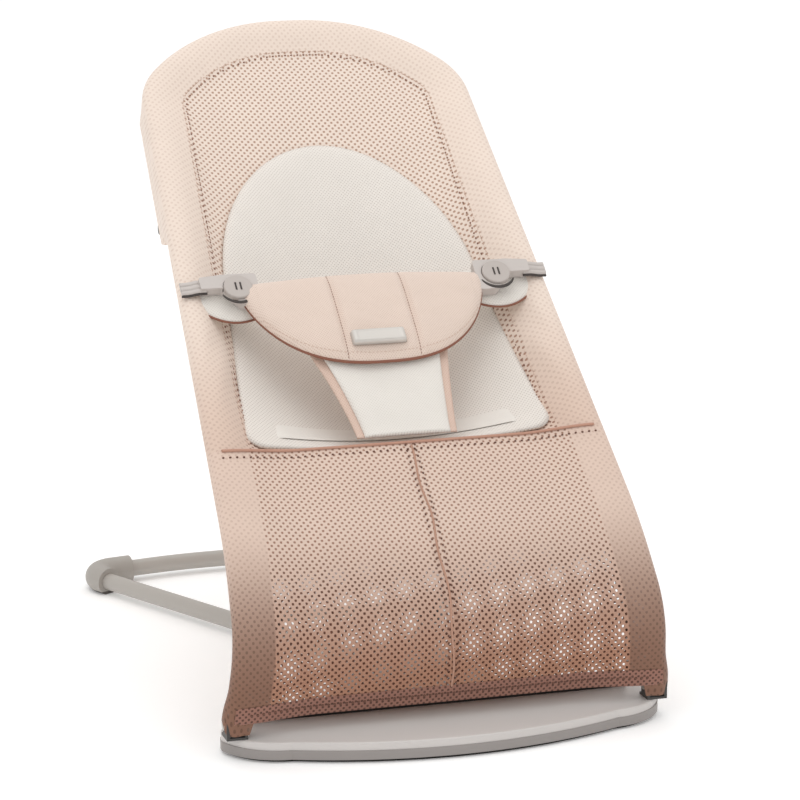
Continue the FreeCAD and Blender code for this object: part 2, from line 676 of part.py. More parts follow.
# ---------------------------------------------------------------- restraint
TAB_OFF = 2.0
PLATE_OFF = 8.0
BUCKLE_OFF = PLATE_OFF + 3.5
BUCKLE_FLOOR = BUCKLE_OFF + 3.0
BUTTON_OFF = BUCKLE_FLOOR + 0.5 + BUTTON_TRAVEL
BUCKLE_RIM = BUTTON_OFF + 1.5
BUCKLE_OUT = half_at(BUCKLE_ALONG) - SLEEVE_R + 1.0
BUCKLE_IN = BUCKLE_OUT - BUCKLE_LENGTH
BELT_HALF = BUCKLE_IN + 6.0


def plate_shape(side, grow, off, thick):
    """Buckle outline: a narrow stem at the seat's edge that widens toward the belt."""
    out, inner = BUCKLE_OUT + grow, BUCKLE_IN - grow
    neck = BUCKLE_OUT - 20
    top, low = BUCKLE_ALONG + BUCKLE_HEIGHT / 2 + grow, BUCKLE_ALONG - BUCKLE_HEIGHT / 2 - grow
    stem = top - 15 - 2 * grow
    line = [(out, top - 2), (out, stem), (neck, stem), (neck - 14, low), (inner, low), (inner, top)]
    line.append((neck, top))
    points = [on_seat(side * x, along, off) for x, along in line]
    return prism(rounded(points, [2, 2, 6, 10, 3, 3, 4], True), OUT * thick)


def button_centre(side, off):
    """Middle of the push button, at a height off the tube plane."""
    return on_seat(side * (BUCKLE_IN + BUTTON_R + 6), BUCKLE_ALONG + 1, off)


def buckle(word, side, sleeve):
    """Tab and stud plate on the seat; the buckle, its button and its leaf on the belt."""
    tab = seat_box(side * (BUCKLE_OUT + 6), side * (BUCKLE_IN - 2), BUCKLE_ALONG - BUCKLE_HEIGHT / 2 - 6,
                   BUCKLE_ALONG + BUCKLE_HEIGHT / 2, TAB_OFF, PLATE_OFF)
    save("side_tab_" + word, tab.cut(sleeve))
    plate = plate_shape(side, -1.0, PLATE_OFF, 3.0)
    stud = rod(button_centre(side, PLATE_OFF + 1), button_centre(side, BUCKLE_FLOOR - 0.3), STUD_R)
    save("stud_plate_" + word, plate.fuse(stud).removeSplitter())
    body = plate_shape(side, 0.0, BUCKLE_OFF, BUCKLE_RIM - BUCKLE_OFF)
    well = rod(button_centre(side, BUCKLE_FLOOR), button_centre(side, BUCKLE_RIM + 5), BUTTON_R + PLAY)
    body = body.cut(well)
    hole = rod(button_centre(side, BUCKLE_OFF - 1), button_centre(side, BUCKLE_RIM), STUD_R + PLAY)
    body = body.cut(hole).removeSplitter()
    save("buckle_" + word, body)
    leaf = rod(button_centre(side, BUCKLE_FLOOR), button_centre(side, BUCKLE_FLOOR + 0.4), BUTTON_R - 3)
    save("button_leaf_" + word, leaf.cut(hole))
    cap = rod(button_centre(side, BUTTON_OFF), button_centre(side, BUTTON_OFF + BUTTON_THICK), BUTTON_R)
    face = button_centre(side, BUTTON_OFF + BUTTON_THICK)
    rims = [e for e in cap.Edges if abs((e.CenterOfMass - face).dot(OUT)) < 0.01]
    save("push_button_" + word, cap.makeFillet(BUTTON_EDGE, rims))
    return body


def arch(along0, along1, half, low_end, low_mid, thick):
    """A strip across the seat, bowed outward in the middle."""
    points = []
    for extra in (0, thick):
        ends = [on_seat(s * half, along0, low_end + extra) for s in (-1, 1)]
        points.append((ends[0], on_seat(0, along0, low_mid + extra), ends[1]))
    edges = [Part.Arc(*points[0]).toShape(), Part.LineSegment(points[0][2], points[1][2]).toShape()]
    edges.append(Part.Arc(points[1][2], points[1][1], points[1][0]).toShape())
    edges.append(Part.LineSegment(points[1][0], points[0][0]).toShape())
    return prism(edges, UP_BACK * (along1 - along0))


def belt_outline():
    """Boat shape: straight along the top, curved along the bottom."""
    flank = BELT_HALF
    rise = BELT_LOW + 52
    base = -50
    top = [on_seat(-flank, BELT_HIGH, base), on_seat(flank, BELT_HIGH, base)]
    sides = [on_seat(flank, rise + 14, base), on_seat(-flank, rise + 14, base)]
    edges = [Part.LineSegment(top[0], top[1]).toShape(), Part.LineSegment(top[1], sides[0]).toShape()]
    edges.append(Part.Arc(sides[0], on_seat(0, BELT_LOW, base), sides[1]).toShape())
    edges.append(Part.LineSegment(sides[1], top[0]).toShape())
    return prism(edges, OUT * 150)


def crotch_shape():
    """Narrow panel that rises from the seat's front edge to the belt."""
    low = SEAM_ALONG + 6.0
    high = BELT_LOW + 30.0
    lift = BELT_MID_OFF
    side = [on_seat(0, low, CROTCH_OFF), on_seat(0, low, CROTCH_OFF + CROTCH)]
    side += [on_seat(0, BELT_LOW, lift + CROTCH)]
    side += [on_seat(0, high, lift + CROTCH), on_seat(0, high, lift), on_seat(0, BELT_LOW, lift)]
    for point in side:
        point.x = -CROTCH_HIGH_HALF - 10
    slab = prism(rounded(side, [0] * 6, True), V(2 * CROTCH_HIGH_HALF + 20, 0, 0))
    plan = [(-CROTCH_LOW_HALF, low - 5), (CROTCH_LOW_HALF, low - 5), (CROTCH_HIGH_HALF, high + 5)]
    plan.append((-CROTCH_HIGH_HALF, high + 5))
    points = [on_seat(x, along, -60) for x, along in plan]
    return slab.common(prism(rounded(points, [0] * 4, True), OUT * 200))


def restraint():
    """Belt, crotch panel, blank label plate and both buckles."""
    belt = arch(BELT_LOW - 2, BELT_HIGH + 2, BELT_HALF + 4, BELT_END_OFF, BELT_MID_OFF, BELT)
    belt = belt.common(belt_outline())
    sleeve = pipe(upper_edges(), SLEEVE_R)
    for word, side in SIDES:
        belt = belt.cut(buckle(word, side, sleeve))
        well = rod(button_centre(side, BUCKLE_OFF), button_centre(side, BUCKLE_RIM + 30), BUTTON_R + PLAY)
        belt = belt.cut(well)
    face = BELT_MID_OFF + BELT
    low = BELT_LOW + LABEL_LOW
    label = seat_box(-LABEL_HALF, LABEL_HALF, low, low + LABEL_HEIGHT, face - 0.4, face + 1.0)
    belt = belt.cut(label)
    save("belt", belt)
    save("label_plate", label)
    save("crotch_panel", crotch_shape().cut(belt))


# ---------------------------------------------------------------- build
os.makedirs("parts", exist_ok=True)
seat_tubes()
plate()
for word, side in SIDES:
    save("hinge_knuckle_" + word, knuckle(side))
    save("hinge_bracket_" + word, hinge_bracket(side))
    save("hinge_pin_" + word, hinge_pin(side))
    save("bow_bracket_" + word, bow_bracket(side))
base_frame()
bow()
racks()
cover()
restraint()
hinge_at = HINGE - V(0, Y_MID, 0)
foot_at = BOW_FOOT - V(0, Y_MID, 0)
seam_at = on_seat(0, SEAM_ALONG + 3, CROTCH_OFF) - V(0, Y_MID, 0)
print("seat hinge", hinge_at)
print("bow hinge", foot_at, "angle", math.degrees(math.atan2(ARM.z, ARM.y)), "length", ARM.Length)
print("belt hinge", seam_at)
print("button axis", OUT * -1)
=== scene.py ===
import math

import bmesh
import bpy
import numpy as np
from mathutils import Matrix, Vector


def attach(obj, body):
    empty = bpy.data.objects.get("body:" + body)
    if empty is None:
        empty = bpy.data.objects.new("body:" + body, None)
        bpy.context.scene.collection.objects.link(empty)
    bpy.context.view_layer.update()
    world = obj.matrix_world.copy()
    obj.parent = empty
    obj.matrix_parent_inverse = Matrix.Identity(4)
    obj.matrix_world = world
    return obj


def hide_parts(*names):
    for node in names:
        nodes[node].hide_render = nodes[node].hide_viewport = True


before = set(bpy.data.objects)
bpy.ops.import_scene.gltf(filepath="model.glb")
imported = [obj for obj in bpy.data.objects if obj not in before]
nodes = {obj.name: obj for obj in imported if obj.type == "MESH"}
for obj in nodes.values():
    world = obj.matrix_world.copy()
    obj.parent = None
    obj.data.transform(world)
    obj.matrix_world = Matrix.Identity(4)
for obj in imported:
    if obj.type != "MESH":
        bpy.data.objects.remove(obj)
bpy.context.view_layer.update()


# ------------------------------------------------------------------ studio
# A seamless white paper sweep, lit by a large overhead softbox, a softer one from the
# front left, and white walls all round.  Nothing here belongs to the seat.
def tone(code):
    """An sRGB hex colour as linear RGBA."""
    parts = [int(code[i:i + 2], 16) / 255 for i in (0, 2, 4)]
    return [c / 12.92 if c <= 0.04045 else ((c + 0.055) / 1.055) ** 2.4 for c in parts] + [1.0]


def add(tree, kind, inputs=None, **settings):
    """Add a node with its settings; an input takes a value, or a socket to link from."""
    made = tree.nodes.new(kind)
    for name, value in settings.items():
        setattr(made, name, value)
    for key, value in (inputs or {}).items():
        if isinstance(value, bpy.types.NodeSocket):
            tree.links.new(value, made.inputs[key])
        else:
            made.inputs[key].default_value = value
    return made


def surface(name, **values):
    """A new material: its tree and its shader, with the shader's plain values set."""
    made = bpy.data.materials.new(name)
    made.use_nodes = True
    shader = made.node_tree.nodes["Principled BSDF"]
    for key, value in values.items():
        shader.inputs[key.replace("_", " ")].default_value = value
    return made, made.node_tree, shader


def as_piece(name, data, material):
    """Put a mesh in the scene as an object at the origin."""
    if material is not None:
        data.materials.append(material)
    piece = bpy.data.objects.new(name, data)
    bpy.context.scene.collection.objects.link(piece)
    return piece


paper, tree, shader = surface("white_paper_sweep", Base_Color=tone("fdfdfd"), Roughness=0.9,
                              Emission_Color=(1.0, 1.0, 1.0, 1.0), Emission_Strength=0.14)
sweep = bpy.data.meshes.new("paper_sweep")
sweep.from_pydata([(-15, -15, 0), (15, -15, 0), (15, 15, 0), (-15, 15, 0)], [], [(0, 1, 2, 3)])
as_piece("paper_sweep", sweep, paper)

world = bpy.data.worlds.new("white_room")
world.use_nodes = True
backdrop = world.node_tree.nodes["Background"]
height = add(world.node_tree, "ShaderNodeSeparateXYZ", {
    "Vector": add(world.node_tree, "ShaderNodeTexCoord").outputs["Generated"]})
wall = add(world.node_tree, "ShaderNodeMapRange", {
    "Value": height.outputs["Z"], "From Min": 0.0, "From Max": 0.9, "To Min": 0.54, "To Max": 1.06})
world.node_tree.links.new(wall.outputs["Result"], backdrop.inputs["Strength"])
backdrop.inputs["Color"].default_value = (1.0, 0.995, 0.985, 1.0)
bpy.context.scene.world = world
bpy.context.scene.view_settings.view_transform = "Standard"

for label, place, target, size, power in (
    ("overhead_softbox", (-0.2, 0.1, 2.6), (0, 0, 0.2), 2.4, 12.0),
    ("front_softbox", (-1.9, -1.9, 1.8), (0, -0.1, 0.3), 1.4, 4.5),
):
    lamp = bpy.data.lights.new(label, "AREA")
    lamp.shape = "DISK"
    lamp.size = size
    lamp.energy = power
    holder = bpy.data.objects.new(label, lamp)
    holder.location = place
    aim = Vector(target) - Vector(place)
    holder.rotation_euler = aim.to_track_quat("-Z", "Y").to_euler()
    bpy.context.scene.collection.objects.link(holder)

AZIMUTH = math.radians(17)
ELEVATION = math.radians(13.2)
lens = bpy.data.cameras.new("camera")
lens.lens = 148.5
lens.sensor_width = 36.0
lens.clip_end = 50.0
camera = bpy.data.objects.new("camera", lens)
camera.location = (-0.8145, -2.7759, 0.9145)
facing = Vector((math.sin(AZIMUTH), math.cos(AZIMUTH), 0)) * math.cos(ELEVATION)
facing.z = -math.sin(ELEVATION)
camera.rotation_euler = facing.to_track_quat("-Z", "Y").to_euler()
bpy.context.scene.collection.objects.link(camera)
bpy.context.scene.camera = camera


# ------------------------------------------------------------------ front plate
# The half-moon plate is two injection-moulded polypropylene shells, screwed together from
# below over a moulded rubber sole.  The top is finely grained; the rim is a darker grey.
def dress(name, material):
    """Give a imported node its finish."""
    for holder in nodes[name].material_slots:
        holder.link = "OBJECT"
        holder.material = material


def grained(name, code, grain_mm, depth_mm, mottle, **values):
    """Moulded or coated surface: fine grain relief and a faint mottle in its colour."""
    made, tree, shader = surface(name, **values)
    place = add(tree, "ShaderNodeTexCoord").outputs["Object"]
    grain = add(tree, "ShaderNodeTexNoise", {"Vector": place, "Scale": 1000.0 / grain_mm, "Detail": 3.0})
    cloud = add(tree, "ShaderNodeTexNoise", {"Vector": place, "Scale": 22.0, "Detail": 4.0})
    light = [min(1.0, c * (1 + mottle)) for c in tone(code)[:3]] + [1.0]
    dark = [c * (1 - mottle) for c in tone(code)[:3]] + [1.0]
    tint = add(tree, "ShaderNodeMix", {"Factor": cloud.outputs["Fac"], 6: dark, 7: light},
               data_type="RGBA")
    tree.links.new(tint.outputs[2], shader.inputs["Base Color"])
    bump = add(tree, "ShaderNodeBump", {"Height": grain.outputs["Fac"], "Distance": depth_mm / 1000,
                                        "Strength": 0.6})
    tree.links.new(bump.outputs["Normal"], shader.inputs["Normal"])
    even = shader.inputs["Roughness"].default_value
    rough = add(tree, "ShaderNodeMapRange", {"Value": cloud.outputs["Fac"], "To Min": even - 0.06,
                                             "To Max": even + 0.06})
    tree.links.new(rough.outputs["Result"], shader.inputs["Roughness"])
    return made


plate_satin = grained("grained_polypropylene_light", "ccc7c4", 0.7, 0.06, 0.03, Roughness=0.42)
plate_grey = grained("grained_polypropylene_grey", "948e8b", 0.7, 0.06, 0.03, Roughness=0.45)
sole_rubber = grained("moulded_rubber_black", "262523", 0.9, 0.08, 0.08, Roughness=0.75)
dress("plate_top_shell", plate_satin)
dress("plate_lower_shell", plate_grey)
dress("tube_clamp_cover", plate_grey)
dress("plate_sole", sole_rubber)
dress("hinge_rail", sole_rubber)

# ------------------------------------------------------------------ base frame
# Bent steel tubes, powder coated in warm light grey, pushed into moulded corner elbows that
# stand on rubber feet.  The clamp behind the plate holds the front ends.
tube_coat = grained("powder_coated_steel_grey", "b3aea8", 1.1, 0.05, 0.02, Roughness=0.34)
elbow_plastic = grained("moulded_nylon_grey", "aaa59f", 0.6, 0.05, 0.03, Roughness=0.5)
foot_rubber = grained("moulded_rubber_grey", "5d5753", 0.9, 0.08, 0.06, Roughness=0.8)
for name in ("base_tube_left", "base_tube_right", "rear_cross_tube"):
    dress(name, tube_coat)
for side in ("left", "right"):
    dress("rear_elbow_" + side, elbow_plastic)
    dress("elbow_foot_" + side, foot_rubber)

# ------------------------------------------------------------------ prop bow and racks
# The bow is one bent steel wire, coated like the tubes, turning in two nylon saddles.  Its
# ends stand in the teeth of nylon racks riveted under the seat tube.
dress("bow_wire", tube_coat)
dark_nylon = grained("moulded_nylon_dark", "3b3836", 0.6, 0.05, 0.05, Roughness=0.48)
for name in ("bow_bracket_left", "bow_bracket_right", "notch_rack_left", "notch_rack_right", "bow_end_caps"):
    dress(name, dark_nylon)

# ------------------------------------------------------------------ hinge and frame hardware
# Nylon ears on the plate hold a steel pin through the knuckle on each seat tube.  Screws,
# rivets and spigots are plain bright steel.
zinc = grained("zinc_plated_steel", "b9b7b2", 0.5, 0.02, 0.04, Roughness=0.3, Metallic=1.0)
for side in ("left", "right"):
    dress("hinge_bracket_" + side, dark_nylon)
    dress("hinge_knuckle_" + side, dark_nylon)
    dress("hinge_pin_" + side, zinc)
for name in ("plate_screws", "clamp_screws", "rack_rivets", "frame_spigots"):
    dress(name, zinc)
for name in ("seat_tube_left", "seat_tube_right", "seat_tube_top"):
    dress(name, tube_coat)


# ------------------------------------------------------------------ seat cover
# One piece of soft polyester mesh, knitted with staggered holes.  It hangs between the tubes
# as a shallow pocket, and its edge is a double band sewn round the tube as a sleeve.
SLOPE = math.radians(38.5)
BACK_RISE = 0.083  # the tube plane stands this far off the hinge, square to the back
HINGE = Vector((0, -0.2525, 0.030))
SEAM_ALONG = 0.213
TOP_ALONG = 0.715
SLEEVE = 0.0093
BAND = 0.030
RACK_FLAP = 0.0215  # how far the sleeve hangs as a flap over each rack
FLAP_TURN = math.radians(-8)  # where round the tube the flap begins
HINGE_HALF = 0.1855
TAPER = 0.082  # how far each side closes in per metre of height
FACE_DIP = 0.0066  # the cloth's face lies this much lower in the middle than on the tubes
DIP_REACH = 0.070
POCKET_EASE = 0.045  # distances from the tube over which the pocket's depth
ROLL_OFF = 0.040  # sets in and the sleeve's height is lost
SAG_MM = 57  # depth of the pocket, how quickly it drops behind the front seam,
SAG_DROP_MM = 28  # where it begins to rise, and over what distance it does
SAG_HOLD_MM = 110
SAG_RISE_MM = 410


def on_seat(x, along, off):
    """Points on the seat's back: x across, along it from the hinge, off its tube plane."""
    x, along, off = np.broadcast_arrays(x, along, off)
    y = HINGE.y + along * math.cos(SLOPE) - (BACK_RISE + off) * math.sin(SLOPE)
    z = HINGE.z + along * math.sin(SLOPE) + (BACK_RISE + off) * math.cos(SLOPE)
    return np.stack([x, y, z], axis=-1)


def tube_half(z):
    """Half-width to the seat tube's centre at a height."""
    return HINGE_HALF - TAPER * (z - HINGE.z)


def half_at(along):
    """The same, at a distance up the back."""
    return tube_half(on_seat(0.0, along, 0.0)[..., 2])


def directions(line):
    """Unit directions along a line of points."""
    way = np.gradient(line, axis=0)
    return way / np.linalg.norm(way, axis=1)[:, None]


def run_along(line):
    """Distance of each point along its line, from the first."""
    return np.concatenate([[0], np.cumsum(np.linalg.norm(np.diff(line, axis=0), axis=1))])


def spaced(line, count):
    """The same line as a number of equal steps."""
    run = run_along(line)
    at = np.linspace(0, run[-1], count + 1)
    return np.stack([np.interp(at, run, line[:, k]) for k in range(line.shape[1])], axis=1)


def bent(points, radii, step):
    """Evenly spaced points along straight runs joined by tangent arcs."""
    points = [Vector(p) for p in points]
    line = [points[0]]
    for i in range(1, len(points) - 1):
        here = points[i]
        into = (here - points[i - 1]).normalized()
        away = (points[i + 1] - here).normalized()
        turn = into.angle(away)
        reach = radii[i - 1] * math.tan(turn / 2)
        centre = here + (away - into).normalized() * (radii[i - 1] / math.cos(turn / 2))
        first = here - into * reach - centre
        last = here + away * reach - centre
        for k in range(25):
            share = k / 24
            swing = first * math.sin((1 - share) * turn) + last * math.sin(share * turn)
            line.append(centre + swing / math.sin(turn))
    line.append(points[-1])
    line = np.array([list(p) for p in line])
    return spaced(line, max(2, int(round(run_along(line)[-1] / step))))


def smooth(t):
    """Smooth step from 0 to 1."""
    t = np.clip(t, 0, 1)
    return t * t * (3 - 2 * t)


def face_off(inward):
    """How far the cloth's face stands off the tube plane, a distance inside the tube."""
    return SLEEVE - FACE_DIP * smooth(inward / DIP_REACH)


def sag(x, along):
    """How far the cover hangs below the tube plane."""
    past = (along - SEAM_ALONG) * 1000
    depth = SAG_MM * (1 - np.exp(-np.clip(past, 0, None) / SAG_DROP_MM))
    fade = 0.5 * (1 + np.cos(np.pi * np.clip((past - SAG_HOLD_MM) / SAG_RISE_MM, 0, 1)))
    return depth * fade / 1000 * np.clip(1 - (x / half_at(along)) ** 2, 0, 1)


def head_plan(start):
    """Plan of the seat tube's centreline, from a distance up one side, round the head."""
    corner = TOP_ALONG - 0.070
    outer = float(half_at(corner))
    inner = outer * 0.545
    base = float(half_at(start))
    flank = Vector((base - outer, corner - start))
    diagonal = Vector((outer - inner, TOP_ALONG - corner))
    reach = diagonal.length - 0.060 * math.tan(flank.angle(diagonal) / 2) - 0.003
    head = min(0.9 * inner, reach) / math.tan(diagonal.angle(Vector((1, 0))) / 2)
    line = [(-base, start), (-outer, corner), (-inner, TOP_ALONG)]
    line += [(-p[0], p[1]) for p in reversed(line)]
    return line, [0.060, head, head, 0.060]


def grid_mesh(name, points, chart, extra=None, keep=None):
    """Mesh from a grid of points, with a cloth chart in metres as its UV map."""
    rows, columns = points.shape[:2]
    mesh = bpy.data.meshes.new(name)
    index = np.arange(rows * columns).reshape(rows, columns)
    quads = np.stack([index[:-1, :-1], index[1:, :-1], index[1:, 1:], index[:-1, 1:]], axis=-1)
    if keep is not None:
        quads = quads[keep]
    quads = quads.reshape(-1, 4)
    mesh.from_pydata(points.reshape(-1, 3).tolist(), [], quads.tolist())
    layer = mesh.uv_layers.new(name="cloth")
    loops = np.zeros(len(mesh.loops), int)
    mesh.loops.foreach_get("vertex_index", loops)
    layer.data.foreach_set("uv", chart.reshape(-1, 2)[loops].astype(np.float32).ravel())
    for key, values in (extra or {}).items():
        attribute = mesh.attributes.new(key, "FLOAT", "POINT")
        attribute.data.foreach_set("value", values.reshape(-1).astype(np.float32))
    mesh.shade_smooth()
    return mesh


WELD = 0.00002


def close_up(mesh):
    """Weld a pad's seam and poles, cap its ends and turn its faces outward."""
    shell = bmesh.new()
    shell.from_mesh(mesh)
    bmesh.ops.remove_doubles(shell, verts=shell.verts, dist=WELD)
    bmesh.ops.holes_fill(shell, edges=[e for e in shell.edges if e.is_boundary], sides=0)
    bmesh.ops.recalc_face_normals(shell, faces=shell.faces)
    shell.to_mesh(mesh)
    shell.free()
    mesh.shade_smooth()
    return mesh


def knitted(name, yarn, shade, across_mm, rows_mm, hole=0.45, through=0.0, band=0.0, turn=0.0,
            fade=None, **values):
    """Knitted polyester mesh with staggered holes.  The eye sees soft light yarn, darker
    small openings in diagonal rows, and a closed double band where the cloth is doubled.
    With fade colours, yarn and openings darken along the 'deep' attribute as painted shade,
    and the doubled band of a see-through mesh gets more painted shade towards the hem."""
    made, tree, shader = surface(name, **values)
    chart = add(tree, "ShaderNodeUVMap", uv_map="cloth").outputs["UV"]
    lattice = add(tree, "ShaderNodeMapping", {"Vector": chart, "Rotation": (0, 0, turn)})
    lattice.inputs["Scale"].default_value = (2000 * math.pi / across_mm, 2000 * math.pi / rows_mm, 1)
    split = add(tree, "ShaderNodeSeparateXYZ", {"Vector": lattice.outputs["Vector"]})
    waves = [add(tree, "ShaderNodeMath", {0: split.outputs[k]}, operation="COSINE") for k in (0, 1)]
    weave = add(tree, "ShaderNodeMath", {0: waves[0].outputs[0], 1: waves[1].outputs[0]}, operation="MULTIPLY")
    opening = add(tree, "ShaderNodeMapRange", {"Value": weave.outputs[0], "From Min": hole - 0.14,
                                               "From Max": hole + 0.14}, interpolation_type="SMOOTHSTEP")
    hollow = opening.outputs["Result"]
    if band:
        rim = add(tree, "ShaderNodeAttribute", attribute_name="rim").outputs["Fac"]
        inside = add(tree, "ShaderNodeMapRange", {
            "Value": rim, "From Min": band - 0.0008, "From Max": band + 0.0008, "To Min": 0.25, "To Max": 1.0})
        hollow = add(tree, "ShaderNodeMath", {0: hollow, 1: inside.outputs["Result"]},
                     operation="MULTIPLY").outputs[0]
    place = add(tree, "ShaderNodeTexCoord").outputs["Object"]
    cloud = add(tree, "ShaderNodeTexNoise", {"Vector": place, "Scale": 30.0, "Detail": 5.0, "Roughness": 0.65})
    pale = [min(1, c * 1.04) for c in tone(yarn)[:3]] + [1.0]
    deep = [c * 0.95 for c in tone(yarn)[:3]] + [1.0]
    ground = add(tree, "ShaderNodeMix", {"Factor": cloud.outputs["Fac"], 6: deep, 7: pale},
                 data_type="RGBA")
    tint = add(tree, "ShaderNodeMix", {"Factor": hollow, 7: tone(shade)}, data_type="RGBA")
    # Painted shade: with fade colours, yarn and openings darken towards the hem along 'deep'.
    if fade:
        drop = add(tree, "ShaderNodeAttribute", attribute_name="deep").outputs["Fac"]
        reach = add(tree, "ShaderNodeMapRange", {"Value": drop, "From Min": 0.30, "From Max": 0.92},
                    interpolation_type="SMOOTHSTEP")
        for socket, start, code in ((6, ground.outputs[2], fade[0]), (7, tone(shade), fade[1])):
            step = add(tree, "ShaderNodeMix", {"Factor": reach.outputs["Result"], 6: start, 7: tone(code)},
                       data_type="RGBA")
            # Painted shade: the doubled band darkens further towards the hem.
            if band and through:
                doubled = add(tree, "ShaderNodeMapRange", {
                    "Value": rim, "From Min": band - 0.0012, "From Max": band + 0.0004,
                    "To Min": 1.0, "To Max": 0.0})
                both = add(tree, "ShaderNodeMath", {0: doubled.outputs["Result"], 1: reach.outputs["Result"]},
                           operation="MULTIPLY")
                band_painted_shade = add(tree, "ShaderNodeMapRange", {"Value": both.outputs[0], "To Min": 1.0, "To Max": 0.58})
                step = add(tree, "ShaderNodeMix", {0: 1.0, 6: step.outputs[2], 7: band_painted_shade.outputs["Result"]},
                           data_type="RGBA", blend_type="MULTIPLY")
            tree.links.new(step.outputs[2], tint.inputs[socket])
    else:
        tree.links.new(ground.outputs[2], tint.inputs[6])
    tree.links.new(tint.outputs[2], shader.inputs["Base Color"])
    if through:
        clear = add(tree, "ShaderNodeMapRange", {
            "Value": add(tree, "ShaderNodeAttribute", attribute_name="deep").outputs["Fac"],
            "From Min": 0.40, "From Max": 0.66, "To Min": 0.12, "To Max": through}, interpolation_type="SMOOTHSTEP")
        cut = add(tree, "ShaderNodeMath", {0: hollow, 1: clear.outputs["Result"]}, operation="MULTIPLY")
        solid = add(tree, "ShaderNodeMath", {0: 1.0, 1: cut.outputs[0]}, operation="SUBTRACT")
        tree.links.new(solid.outputs[0], shader.inputs["Alpha"])
    thread = add(tree, "ShaderNodeTexNoise", {"Vector": place, "Scale": 1600.0, "Detail": 2.0})
    relief = add(tree, "ShaderNodeMath", {0: thread.outputs["Fac"], 1: 0.3}, operation="MULTIPLY")
    height = add(tree, "ShaderNodeMath", {0: relief.outputs[0], 1: hollow}, operation="SUBTRACT")
    bump = add(tree, "ShaderNodeBump", {"Height": height.outputs[0], "Distance": 0.0007, "Strength": 0.5})
    tree.links.new(bump.outputs["Normal"], shader.inputs["Normal"])
    return made


# Its fade colours are painted shade, darker towards the pocket's front seam.
cover_mesh = knitted("knitted_polyester_mesh_peach", "ebdacd", "b3917d", 6.0, 6.2, hole=0.42, band=0.028,
                     fade=("d9c0b0", "98705d"), Roughness=0.8, Sheen_Weight=0.25, Sheen_Roughness=0.5)

outline = bent(*head_plan(SEAM_ALONG), 0.004)
ways = directions(outline)
inward = np.stack([ways[:, 1], -ways[:, 0]], axis=1)
share = np.linspace(0, 1, len(outline))
spine = SEAM_ALONG + (0.570 - SEAM_ALONG) * (1 - np.abs(2 * share - 1))

plans, lifts, rims, charts = [], [], [], []
folds = np.radians(np.linspace(-205, 90, 26))
under = BAND * np.linspace(1, 0.35, 6)
for depth in under:
    plans.append(outline + inward * depth)
    lifts.append(-0.0022 - SLEEVE * 0.4 * (1 - depth / BAND))
    rims.append(0.0)
for angle in folds:
    plans.append(outline - inward * (SLEEVE * math.cos(angle)))
    lifts.append(SLEEVE * math.sin(angle))
    rims.append(0.0)
for depth in np.linspace(0.002, BAND + 0.004, 14):
    plans.append(outline + inward * depth)
    lifts.append(None)
    rims.append(depth)
edge = plans[-1]
for inner in np.linspace(0, 1, 56)[1:]:
    target = np.stack([np.zeros_like(spine), spine], axis=1)
    plans.append(edge * (1 - inner) + target * inner)
    lifts.append(None)
    rims.append(BAND + 0.004 + inner * 0.1)
rings = []
for plan, lift, rim in zip(plans, lifts, rims):
    x, along = plan[:, 0], plan[:, 1]
    hang = -sag(x, along)
    if lift is None:
        off = hang * smooth(rim / POCKET_EASE) + SLEEVE * (1 - smooth(rim / ROLL_OFF))
        pull = np.exp(-((along - 0.325) / 0.055) ** 2) * smooth(rim / 0.020) * smooth((0.085 - rim) / 0.05)
        off = off + 0.0016 * pull * np.sin((np.abs(x) * 0.9 + along * 0.45) / 0.0052)
    elif rim == 0.0 and len(rings) < len(under):
        off = hang * smooth(BAND / POCKET_EASE) * (under[len(rings)] / BAND) + lift
    else:
        off = np.full_like(x, lift)
        turn = folds[len(rings) - len(under)]
        hang_down = RACK_FLAP * np.clip((FLAP_TURN - turn) / math.radians(70), 0, 1)
        beside = smooth((along - 0.460) / 0.014) * smooth((0.636 - along) / 0.014)
        side = np.sign(x)
        off = off * (1 - beside) - hang_down * beside if turn < FLAP_TURN else off
        reach = half_at(along) + SLEEVE + 0.0006
        x = np.where((beside > 0) & (turn < FLAP_TURN), x * (1 - beside) + side * reach * beside, x)
    rings.append(on_seat(x, along, off))
points = np.stack(rings)
behind = (points[..., 1] - HINGE.y) * math.cos(SLOPE) + (points[..., 2] - HINGE.z) * math.sin(SLOPE)
open_at = (behind > 0.463) & (behind < 0.631)
open_at[len(under) + int(np.sum(folds < math.radians(-78))):] = False
whole = ~(open_at[:-1, :-1] | open_at[1:, :-1] | open_at[1:, 1:] | open_at[:-1, 1:])
flat = np.stack([np.stack(plans)[..., 0], np.stack(plans)[..., 1]], axis=-1)
rim_map = np.repeat(np.array(rims)[:, None], points.shape[1], axis=1)
# Painted shade: 'deep' rises from 0 up the back to 1 at the front seam.
shade_map = np.clip((0.46 - flat[..., 1]) / 0.26, 0, 1)
cover = as_piece("seat_cover", grid_mesh("seat_cover", points, flat, {"rim": rim_map, "deep": shade_map},
                                         whole), cover_mesh)
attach(cover, "seat")
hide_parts("cover_back", "rim_band")

# ------------------------------------------------------------------ padded insert
# A thin foam pad in fine off-white mesh, egg-shaped, lying in the pocket.  Its edge is turned
# and flat, and a smooth doubled strip crosses its foot.
INSERT_TOP = 0.578
INSERT_WAIST = 0.400
INSERT_FOOT = 0.225
INSERT_THICK = 0.0075
EGG_LOW = 0.140
EGG_MID = 0.119


def egg_plan(count):
    """Outline of the insert, evenly spaced, from the middle of its foot."""
    low = [(0.0, INSERT_FOOT), (EGG_LOW, INSERT_FOOT), (EGG_MID, INSERT_WAIST)]
    flank = bent(low, [0.018], 0.002)
    swing = np.linspace(0, np.pi / 2, 60)[1:]
    crown = np.stack([EGG_MID * np.cos(swing), INSERT_WAIST + (INSERT_TOP - INSERT_WAIST) * np.sin(swing)], axis=1)
    half = np.concatenate([flank, crown])
    line = np.concatenate([half, (half * (-1, 1))[::-1][1:]])
    return spaced(line, count)


